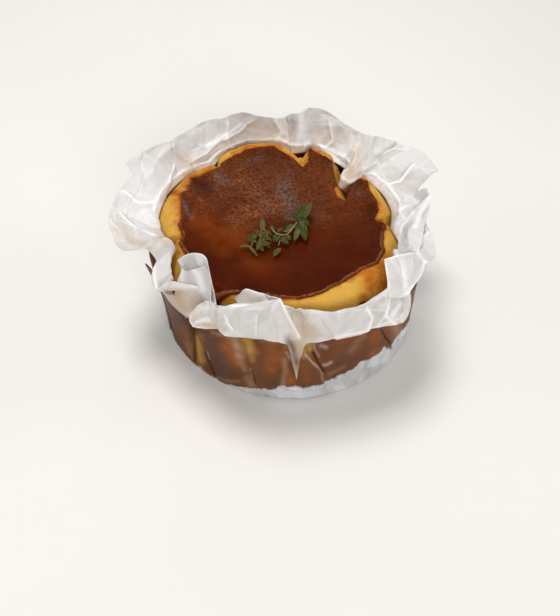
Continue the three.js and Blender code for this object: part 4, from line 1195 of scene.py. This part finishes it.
# Layers of the collar that lie over the next: line of (azimuth, distance up from foot), height, fade.
# The layer on the line's left, seen from inside with the top up, stands towards the middle.
LAYERS = [
    ([(147.6, 19), (148.5, 14.7), (149.6, 10.7), (151.1, 6.7), (154.1, 4.7), (160, 2.5)], 2.6, 14),
    ([(84.2, 4), (85.1, 7.7), (86.2, 12.2), (87.6, 20)], -1.6, 7),
    ([(84.0, 4), (83.9, 8.1), (83.0, 12.1), (81.5, 20)], 1.2, 5),
    ([(349, 1.5), (352.5, 3.7), (357, 6.5), (362.2, 9.9), (366, 17.4)], -2.4, 12),
    ([(53.5, 1), (50.2, 7.1), (48.8, 11.5), (46.9, 15.4)], 1.3, 9),
    ([(34.5, 2), (38, 6.5), (41, 10.8), (44, 15.4), (46.1, 20)], -1.1, 11),
    ([(186.5, 21), (187.4, 15), (189.5, 10), (192.8, 5.6)], 1.2, 9),
    ([(160.5, 18.8), (165, 13), (172.5, 11.3), (180.4, 13.2)], 0.9, 8),
    ([(286, 29.8), (282.4, 26), (279, 22.6), (275, 18.8), (272, 15)], 1.4, 16),
]

# Straight ridges pressed into the collar: line, height towards the middle, width
RIDGES = [
    ([(146, 5.5), (138, 7.0), (126.8, 8.3), (116.2, 9.6), (108, 14)], 1.5, 2.6),
    ([(138, 4.8), (130, 5.2), (120.8, 4.0), (112, 6.5)], -1.0, 2.0),
    ([(184, 17), (190, 10), (197, 4)], 1.0, 2.2),
    ([(204, 2), (200, 8), (196, 15)], -1.0, 2.4),
    ([(175, 4), (178, 10), (176, 17)], 0.8, 2.0),
    ([(120, 2), (123, 8), (121, 15)], 0.7, 2.0),
    ([(98, 2), (95, 8), (98, 13)], 0.7, 1.8),
    ([(74, 3), (70, 9), (73, 17)], 0.8, 2.2),
    ([(62, 2), (58, 9), (60, 16)], -0.8, 2.0),
    ([(30, 3), (26, 10), (29, 20)], 0.9, 2.2),
    ([(16, 3), (12, 8), (14, 15)], -0.9, 2.0),
    ([(358, 1), (0, 5), (4, 9)], 0.8, 1.8),
    ([(342, 3), (338, 9), (343, 14)], 1.0, 2.2),
    ([(330, 5), (326, 12), (332, 18)], -1.0, 2.2),
    ([(298, 17), (301, 24), (299, 30)], 0.6, 1.6),
    ([(310, 18), (306, 25), (309, 31)], 0.7, 1.6),
]


def pressed_folds(azimuth, up):
    """How far the collar's layers and ridges stand towards the middle, and where their edges get a painted
    highlight.
    """
    total, edge = np.zeros(azimuth.shape), np.zeros(azimuth.shape)
    folds = [(*layer, True) for layer in LAYERS] + [(*ridge, False) for ridge in RIDGES]
    for line, height, width, is_layer in folds:
        middle = line[len(line) // 2][0]
        x = ((azimuth - middle + 180) % 360 - 180) / 360 * AROUND
        away, side = line_side(x, up, [((a - middle) / 360 * AROUND, h) for a, h in line])
        over = side * np.sign(height) > 0
        if is_layer:
            step = over * smoothstep(away, 0, 1.3) * np.exp(-((away / width) ** 2))
            total += 0.8 * abs(height) * step
            edge = np.maximum(edge, over * np.exp(-away / 0.5))
        else:
            total += height * np.clip(1 - away / width, 0, 1)
            edge = np.maximum(edge, np.exp(-((away / 0.5) ** 2)) * (height > 0))
    return total, edge


PIECE_FIELD = (60, 60)


def spline(points, steps):
    """A smooth run through points, evenly spaced by point."""
    points = np.asarray(points, float)
    t = np.linspace(0, len(points) - 1, steps)
    i = np.clip(np.floor(t).astype(int), 0, len(points) - 2)
    f = (t - i).reshape(-1, *([1] * (points.ndim - 1)))
    padded = np.concatenate([[2 * points[0] - points[1]], points, [2 * points[-1] - points[-2]]])
    p0, p1, p2, p3 = (padded[i + k] for k in range(4))
    curve = 2 * p1 + (p2 - p0) * f + (2 * p0 - 5 * p1 + 4 * p2 - p3) * f**2
    return 0.5 * (curve + (3 * p1 - p0 - 3 * p2 + p3) * f**3)


# Loose pieces of the sheet, each by rails from side to side of (pixel x, pixel y, radius or height),
# and the ridges pressed into them: line of pixels, height, width
SPOUT_BACK = [
    [
        (177.4, 260, 57.2), (183.5, 256, 56), (190.5, 253.3, 55.5), (198, 253, 55),
        (203.5, 255.5, 55.5), (206.8, 260, 56.5),
    ],
    [
        (181, 268, 57), (186, 267, 56.3), (191, 266.5, 56), (198, 266.5, 56), (204, 267, 56.3),
        (208.5, 269, 57.5),
    ],
    [
        (182.5, 281, 58), (187, 281.5, 57.3), (192, 282, 57), (199, 282, 57), (206, 281.5, 57.5),
        (211.5, 281, 59),
    ],
    [
        (181, 293, 59), (187, 294, 58.3), (193, 294.5, 58), (200, 295, 58), (208, 294.5, 58.6),
        (214, 293, 61),
    ],
    [
        (184, 304, 60), (190, 305, 59.5), (196, 305.5, 59.5), (203, 306, 60), (210, 306, 61.5),
        (216.5, 304.5, 63.3),
    ],
]
LEFT_HEM = [
    [(167, 280, 62.4), (176, 282, 61.6), (184, 283.5, 61), (191, 284.5, 60.8), (197, 286, 60.6)],
    [(161.5, 285.5, 66), (172, 286.3, 64.2), (183, 287.3, 62.8), (191, 288, 62.2), (197.5, 289, 61.4)],
    [(157.5, 289.6, 67.6), (170, 290.6, 65), (182, 291, 63.4), (190, 291.2, 62.6), (196, 291.2, 61.8)],
]
SOAKED_TIP = [
    [(144.8, 263.6, 66.4), (145.8, 263.8, 66), (147.2, 264.5, 65.4)],
    [(149.5, 272, 64.6), (151.6, 272, 64), (154, 272.3, 63.4)],
    [(154, 281.5, 62.8), (157, 281.5, 62.2), (160, 281.5, 61.6)],
    [(157.8, 290.5, 61.4), (161, 290.5, 61), (165, 290.5, 60.4)],
]
STANDING_CORNER = [
    [
        (234.3, 298.5, 55), (240, 293.5, 55), (245.7, 288.8, 55), (258, 292.2, 55), (269, 295.6, 56),
        (280.4, 299.2, 58.5),
    ],
    [
        (237.5, 303, 57), (243, 300.5, 56.5), (250, 298.5, 56.5), (260, 299, 56.5), (270, 299.5, 57),
        (280.2, 301, 59),
    ],
    [
        (240.5, 309, 58.5), (246, 309, 58.5), (253, 308.5, 58.5), (262, 307, 58.5), (271, 305.5, 58.8),
        (279.8, 304, 59.5),
    ],
]
CORNER_RIDGES = [([(262, 293), (268, 300), (279, 299)], 0.8, 3)]
FRONT_FLAP = [
    [
        (206, 300.5, 60.6), (216, 304.8, 61), (226, 306, 61.2), (238, 306, 61.2), (254, 304, 61.2),
        (268, 300.7, 61.2), (280.3, 298.6, 61.2),
    ],
    [
        (197, 306, 63.4), (209, 308.5, 63.2), (222, 309.5, 63.2), (238, 309, 63), (254, 308, 62.8),
        (270, 305.5, 62.5), (283, 304.5, 62.2),
    ],
    [
        (191, 313.5, 66.2), (204, 315, 65.8), (220, 315, 65.2), (238, 315, 64.8), (256, 315, 64.4),
        (274, 315, 63.8), (288.5, 316, 63.4),
    ],
    [
        (189.3, 320.5, 67.6), (204, 321.5, 67), (222, 322.5, 66), (240, 324, 65.4), (258, 325.5, 64.9),
        (276, 326.5, 64.4), (294.5, 327.5, 64.1),
    ],
    [
        (193, 327, 67.8), (207, 328.4, 67.2), (224, 329.5, 66.4), (238, 330.8, 65.8), (257, 337, 65.2),
        (277, 341.4, 64.8), (300.6, 338.8, 64.4),
    ],
]
FRONT_FLAP_RIDGES = [
    ([(225, 315), (227, 322), (232, 330)], 0.9, 3), ([(256.5, 312), (257, 323), (256, 337)], 0.6, 2.5),
    ([(204, 313), (222, 310.5), (250, 311), (266, 310), (278, 302)], -0.8, 3.5),
    ([(195, 324), (201, 319.5), (209, 318.5)], 1.0, 3.5),
    ([(281, 299), (290, 318), (299.5, 337)], 0.9, 2.5), ([(240, 322), (248, 318), (256, 316)], -0.5, 3),
    ([(268, 312), (275, 325), (276, 338)], 0.5, 3),
]
RIGHT_PETAL = [
    [(428.5, 196.3, 63.6), (430, 196.6, 63.8), (431.8, 197.2, 63.8)],
    [(413.5, 210.5, 58.8), (420, 209.5, 60.6), (428.5, 212, 62)],
    [(401, 227, 55.8), (411, 226, 59), (424.5, 227, 61.5)],
    [(398.8, 238, 55.2), (410, 239, 59.4), (422.5, 241, 61.9)],
    [(396.5, 254, 58), (408, 253, 60.2), (419, 251.5, 61.8)],
]
RIGHT_FLAP = [
    [(384, 259.3, 52), (391, 257, 53.5), (398, 255, 54.8), (409, 253, 57.2), (419, 251, 59)],
    [(386, 273, 56.2), (394, 271, 57.8), (403, 269, 59), (413, 267, 60.8), (425, 264, 62.2)],
    [(388, 289, 60.8), (396, 287.5, 61.6), (404, 285, 62.3), (412, 281.5, 63), (419, 279, 64)],
    [(383, 296, 62.6), (391, 297, 63.6), (398, 298, 64.4), (404, 297, 65), (407, 294, 65.4)],
]
RIGHT_FLAP_RIDGES = [
    ([(398, 256), (402, 270), (404, 292)], 0.8, 4), ([(409, 254), (412, 266), (409, 280)], -0.7, 4),
]


def paper_piece(name, rails, size, crumple, seed, meet=seen_at, ridges=(), soaked=0):
    """A loose piece of the sheet, smooth through its rails and then crumpled."""
    rows, columns = size
    points = np.array([[meet(*spot) for spot in rail] for rail in rails])
    grid = spline(np.swapaxes(spline(points, rows), 0, 1), columns).swapaxes(0, 1)
    field = creased_field(*PIECE_FIELD, 6, seed)
    fine = creased_field(*PIECE_FIELD, 2.6, seed + 1)
    width = np.cumsum(np.linalg.norm(np.diff(grid, axis=1, prepend=grid[:, :1]), axis=-1), 1)
    depth = np.cumsum(np.linalg.norm(np.diff(grid, axis=0, prepend=grid[:1]), axis=-1), 0) + 2
    dents = crumple * (read_field(field, width, depth) + 0.35 * read_field(fine, width, depth))
    px, py = picture_place(grid)
    for line, height, reach in ridges:
        dents = dents + height * np.clip(1 - line_side(px, py, line)[0] / reach, 0, 1)
    grid = grid + sheet_normals(grid, False) * dents[..., None]
    # Painted highlights along the stronger creases
    crease = 0.3 * np.clip(read_field(bends(field) + 0.5 * bends(fine), width, depth), 0, 1)
    # Painted shading: each facet lighter or darker by which way it slants
    tone = np.clip(0.6 + 0.4 * read_field(slants(field), width, depth), 0, 1)
    zero = np.zeros(grid.shape[:2])
    paper_sheet(name, grid, paper_tints(grid, zero + soaked, zero, crease, tone), False)


PAPER = paper_material()
parchment()
paper_piece("parchment_spout_back", SPOUT_BACK, (80, 70), 0.25, 11)
paper_piece("parchment_left_hem", LEFT_HEM, (26, 90), 0.2, 12)
paper_piece("parchment_soaked_tip", SOAKED_TIP, (40, 12), 0.15, 31, soaked=1)
paper_piece("parchment_standing_corner", STANDING_CORNER, (50, 90), 0.25, 13, ridges=CORNER_RIDGES)
paper_piece("parchment_front_flap", FRONT_FLAP, (110, 280), 0.5, 17, ridges=FRONT_FLAP_RIDGES)
paper_piece("parchment_right_petal", RIGHT_PETAL, (110, 50), 0.7, 23, meet=seen_level)
paper_piece("parchment_right_flap", RIGHT_FLAP, (70, 70), 0.8, 29, ridges=RIGHT_FLAP_RIDGES)

# ---------------------------------------------------------------- thyme


LEAF_PALE, LEAF_VEIN = (0.11, 0.115, 0.04), (0.22, 0.23, 0.09)
OLIVE_LEAF = (0.032, 0.032, 0.0015), (0.1, 0.09, 0.008)
GREEN_LEAF = (0.014, 0.032, 0.0015), (0.055, 0.07, 0.005)
STEM_GREEN, STEM_RED = (0.2, 0.2, 0.07), (0.26, 0.13, 0.075)
LEAF_ACROSS, LEAF_ALONG = 15, 22
LEAF_THICKNESS, LEAF_CLEARANCE = 0.26, 0.35
STEM_AROUND, STEM_ALONG = 10, 40


def leaf_material(name, dark, light):
    m = Nodes(name)
    colour = m.blend(m.ramp(m.noise(700, 3, 0.6), 0.3, 0.7), dark, light)
    colour = m.blend(m.attribute("paleness"), colour, LEAF_PALE)
    colour = m.blend(m.math("MULTIPLY", m.attribute("vein"), 0.35), colour, LEAF_VEIN)
    bump = m.bump(m.noise(1500, 3, 0.6), 0.00012, 0.5)
    m.set(Base_Color=colour, Roughness=0.5, Normal=bump, Specular_IOR_Level=0.1)
    m.set(Subsurface_Weight=0.1, Subsurface_Radius=(0.0006, 0.001, 0.0003), Subsurface_Scale=0.6)
    return m.material


def stem_material():
    m = Nodes("thyme_stem")
    colour = m.blend(m.ramp(m.noise(300, 3, 0.6), 0.35, 0.65), STEM_GREEN, STEM_RED)
    m.set(Base_Color=colour, Roughness=0.5, Normal=m.bump(m.noise(1200, 2), 0.0001, 0.4))
    return m.material


def leaf_grid(length, width):
    """A leaf from its stalk along +X, with a sunk midrib and a wavy rim, and where its veins show."""
    t = np.linspace(0, 1, LEAF_ALONG)[:, None] * np.ones((1, LEAF_ACROSS))
    s = np.ones((LEAF_ALONG, 1)) * np.linspace(-1, 1, LEAF_ACROSS)[None, :]
    out = np.abs(s)
    half = 0.43 * width * (0.1 + 0.9 * np.sin(math.pi * (0.04 + 0.93 * t) ** 0.85)) * (1 - 0.12 * t)
    height = 0.16 * np.sin(5 * t + s) + 0.34 * out**1.4 - 0.35 * t * t
    height += 0.07 * np.sin(26 * t - 3 * out) * out
    side_veins = np.exp(-((np.sin(13 * t - 2.6 * out) / 0.2) ** 2)) * (out < 0.85)
    vein = np.exp(-((s / 0.09) ** 2)) + 0.8 * smoothstep(out, 0.8, 1) + 0.5 * side_veins
    return np.stack([t * length, s * half, height], -1), np.clip(vein, 0, 1)


def turned(points, roll, rise, heading):
    """Points banked about X, raised about Y and then turned about Z."""
    spin = Matrix.Rotation(math.radians(heading), 3, "Z")
    tilt = Matrix.Rotation(math.radians(-rise), 3, "Y")
    bank = Matrix.Rotation(math.radians(roll), 3, "X")
    return points @ np.array(spin @ tilt @ bank).T


def over_crust(px, py, lift):
    """The point a little above the crust that shows at a pixel."""
    return np.array(seen_level(px, py, CRUST_HEIGHT + lift))


def leaf(base, tip, roll, width, paleness):
    """Vertices, faces and values of one closed leaf from its stalk to its tip."""
    base, tip = over_crust(*base), over_crust(*tip)
    reach = tip - base
    heading = math.degrees(math.atan2(reach[1], reach[0]))
    rise = math.degrees(math.atan2(reach[2], math.hypot(reach[0], reach[1])))
    grid, vein = leaf_grid(np.linalg.norm(reach), width)
    grid = turned(grid.reshape(-1, 3), roll, rise, heading).reshape(grid.shape) + base
    lowest = crust_top(grid[..., 0], grid[..., 1]) + LEAF_CLEARANCE
    grid[..., 2] = np.maximum(grid[..., 2], lowest)
    vertices, faces = thicken(grid, LEAF_THICKNESS, False)
    vein = np.concatenate([vein.ravel(), vein.ravel() * 0.4])
    return vertices, faces, {"vein": vein, "paleness": np.full(len(vein), paleness)}


def stem(points, radius):
    """Vertices and faces of one closed stem through points over the crust."""
    path = spline([over_crust(*point) for point in points], STEM_ALONG)
    ahead = np.gradient(path, axis=0)
    ahead /= np.linalg.norm(ahead, axis=1, keepdims=True)
    side = np.cross(ahead, [0, 0, 1.0])
    side /= np.linalg.norm(side, axis=1, keepdims=True)
    up = np.cross(side, ahead)
    angle = np.linspace(0, 2 * math.pi, STEM_AROUND, endpoint=False)[None, :, None]
    knots = 0.75 + 0.25 * np.cos(np.linspace(0, 9, STEM_ALONG)) ** 2
    girth = radius * knots * np.linspace(1, 0.7, STEM_ALONG)
    circle = np.cos(angle) * side[:, None] + np.sin(angle) * up[:, None]
    vertices = (path[:, None] + circle * girth[:, None, None]).reshape(-1, 3)
    vertices = np.concatenate([vertices, path[:1], path[-1:]])
    return vertices, closed_tube(STEM_ALONG, STEM_AROUND), {}


def thyme(name, parts, material, node):
    """Joins leaves or stems in one piece that stands for a node."""
    vertices, faces, values, start = [], [], {}, 0
    for part_vertices, part_faces, part_values in parts:
        vertices.append(part_vertices)
        faces += [face + start for face in part_faces]
        for key, value in part_values.items():
            values[key] = np.concatenate([values.get(key, []), value])
        start += len(part_vertices)
    obj = make_object(name, np.concatenate(vertices), faces, values, material)
    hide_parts(node)


# Leaves: stalk and tip as (pixel x, pixel y, lift over the crust), roll, width, paleness
LEFT_LEAVES = [
    ((262, 231, 2.6), (262.5, 218.5, 4.2), 15, 2.8, 0.6),
    ((256.5, 235, 2.6), (248, 240, 1.8), -20, 3, 0.1),
    ((249.5, 246.3, 1.3), (240, 246, 1.5), 10, 1.7, 0.6),
    ((249.5, 247, 1.2), (257, 255.5, 0.9), 0, 1.7, 0.5),
    ((261.5, 240, 2.4), (257, 249.5, 1.4), 14, 2.9, 0.15),
    ((263.5, 236, 2.8), (271.5, 240, 2.3), -10, 3, 0.05),
    ((261.5, 245, 2), (271, 242.5, 1.8), 12, 2.8, 0), ((263, 235, 3.2), (266.5, 230, 3.6), 0, 1.6, 0.4),
    ((256, 243, 1.8), (250, 239.5, 2), 0, 1.8, 0.2), ((262, 238, 2.4), (258.5, 232, 3), -15, 2, 0.3),
    ((265, 243, 1.6), (270, 247.5, 1), 10, 2, 0), ((259, 236, 2.2), (255, 228.5, 2.6), 20, 2.2, 0),
    ((266, 232, 2.6), (272, 234.5, 2), -14, 2.4, 0.1),
    ((259, 244, 1.6), (263, 251, 0.9), 16, 2.3, 0.05), ((255.5, 240, 1.6), (249, 235, 1.8), 24, 2.4, 0),
    ((262, 241, 2.2), (268.5, 237, 2.6), 8, 2.2, 0.5),
]
LEFT_STEMS = [
    (((262, 226, 3), (261, 234, 2.5), (260, 241, 1.9), (257, 249, 1.2)), 0.36),
    (((264, 229.5, 3.2), (267, 233.5, 2.8), (264.5, 240, 2.2), (259, 246, 1.5)), 0.3),
    (((251.5, 236, 1.9), (252.5, 242, 1.6), (250.5, 246.5, 1.4), (247, 247, 1.3)), 0.28),
]
RIGHT_LEAVES = [
    ((297, 220.5, 3.2), (303.2, 207.5, 5), 18, 4.6, 0),
    ((304, 218.5, 3.2), (311.2, 201.5, 5.6), -22, 4.4, 0.45),
    ((301.5, 222, 3.2), (305.5, 239.8, 1.9), 14, 4.4, 0.05),
    ((298.5, 229, 2.8), (294.5, 240, 1.7), -16, 2.8, 0.7),
    ((295.5, 221, 3.3), (283, 217.5, 2.6), 16, 3.4, 0.15),
    ((293, 225, 3.1), (285.5, 231, 2.4), -18, 2.6, 0.55),
    ((300, 220.5, 3.6), (303.8, 229.5, 3.2), 0, 2.4, 0.35),
    ((281, 238, 2.4), (288.5, 243.5, 1.6), 12, 3.2, 0.1),
    ((273.5, 231, 2.2), (271, 225, 2.8), 0, 1.9, 0.4),
    ((276, 234, 2.2), (273.5, 241, 1.4), 0, 1.7, 0.3),
    ((280, 236, 2.4), (276, 241.5, 1.6), 10, 1.9, 0.2),
    ((285, 235.5, 2.6), (290.5, 239.5, 2), -10, 1.9, 0.4),
    ((296.5, 223, 3.2), (298, 233, 2.4), 20, 3, 0),
    ((299.5, 217.5, 3.8), (294.5, 212.5, 4), -12, 2.4, 0.2),
    ((302, 219, 3), (309.5, 225, 2.4), -20, 3.6, 0), ((298, 224, 2.6), (305, 233, 1.8), 24, 3.8, 0.25),
    ((300, 214, 3.6), (305, 203, 4.8), 8, 3.2, 0.1), ((291, 228, 2.6), (284, 226, 2.2), 12, 2.4, 0),
    ((283, 236, 2.2), (292, 236.5, 1.8), 14, 2.6, 0.05),
    ((278, 232, 2.6), (283, 227.5, 2.8), -10, 2, 0.3),
]
RIGHT_STEMS = [
    (
        (
            (271, 228, 2.4), (275.5, 232.8, 2.4), (281.5, 235, 2.4), (287, 234, 2.7), (291, 230.3, 3.1),
            (297, 222, 3.5),
        ),
        0.42,
    ),
    (((289, 236, 2.4), (284, 238.5, 2.2), (280, 241, 1.8), (278.5, 245.5, 1.2)), 0.28),
    (((294, 226, 3.2), (291, 229, 2.9), (286.5, 231.5, 2.6), (283, 231, 2.4)), 0.28),
]
LOOSE_LEAF = ((280, 248.6, 1), (273.6, 255.8, 0.8), 6, 2.8, 0.2)

OLIVE = leaf_material("thyme_leaf_olive", *OLIVE_LEAF)
GREEN = leaf_material("thyme_leaf_green", *GREEN_LEAF)
STEM = stem_material()
thyme("thyme_left_leaves", [leaf(*row) for row in LEFT_LEAVES], OLIVE, "thyme_sprig_left")
thyme("thyme_left_stems", [stem(*row) for row in LEFT_STEMS], STEM, "thyme_sprig_left")
thyme("thyme_right_leaves", [leaf(*row) for row in RIGHT_LEAVES], GREEN, "thyme_sprig_right")
thyme("thyme_right_stems", [stem(*row) for row in RIGHT_STEMS], STEM, "thyme_sprig_right")
thyme("thyme_loose_leaf", [leaf(*LOOSE_LEAF)], OLIVE, "thyme_leaf")

# ---------------------------------------------------------------- floor


FLOOR_REACH = 1500
FLOOR_LOW, FLOOR_HIGH = (0.83, 0.81, 0.775), (0.85, 0.83, 0.8)


def floor():
    corners = [(-FLOOR_REACH, -FLOOR_REACH), (FLOOR_REACH, -FLOOR_REACH)]
    corners += [(FLOOR_REACH, FLOOR_REACH), (-FLOOR_REACH, FLOOR_REACH)]
    mesh = bpy.data.meshes.new("floor")
    mesh.from_pydata([(x * MM, y * MM, 0) for x, y in corners], [], [(0, 1, 2, 3)])
    obj = bpy.data.objects.new("floor", mesh)
    bpy.context.collection.objects.link(obj)
    m = Nodes("pale_floor")
    tone = m.blend(m.ramp(m.noise(6, 3, 0.5), 0.3, 0.7), FLOOR_LOW, FLOOR_HIGH)
    m.set(Base_Color=tone, Roughness=0.6)
    mesh.materials.append(m.material)


floor()
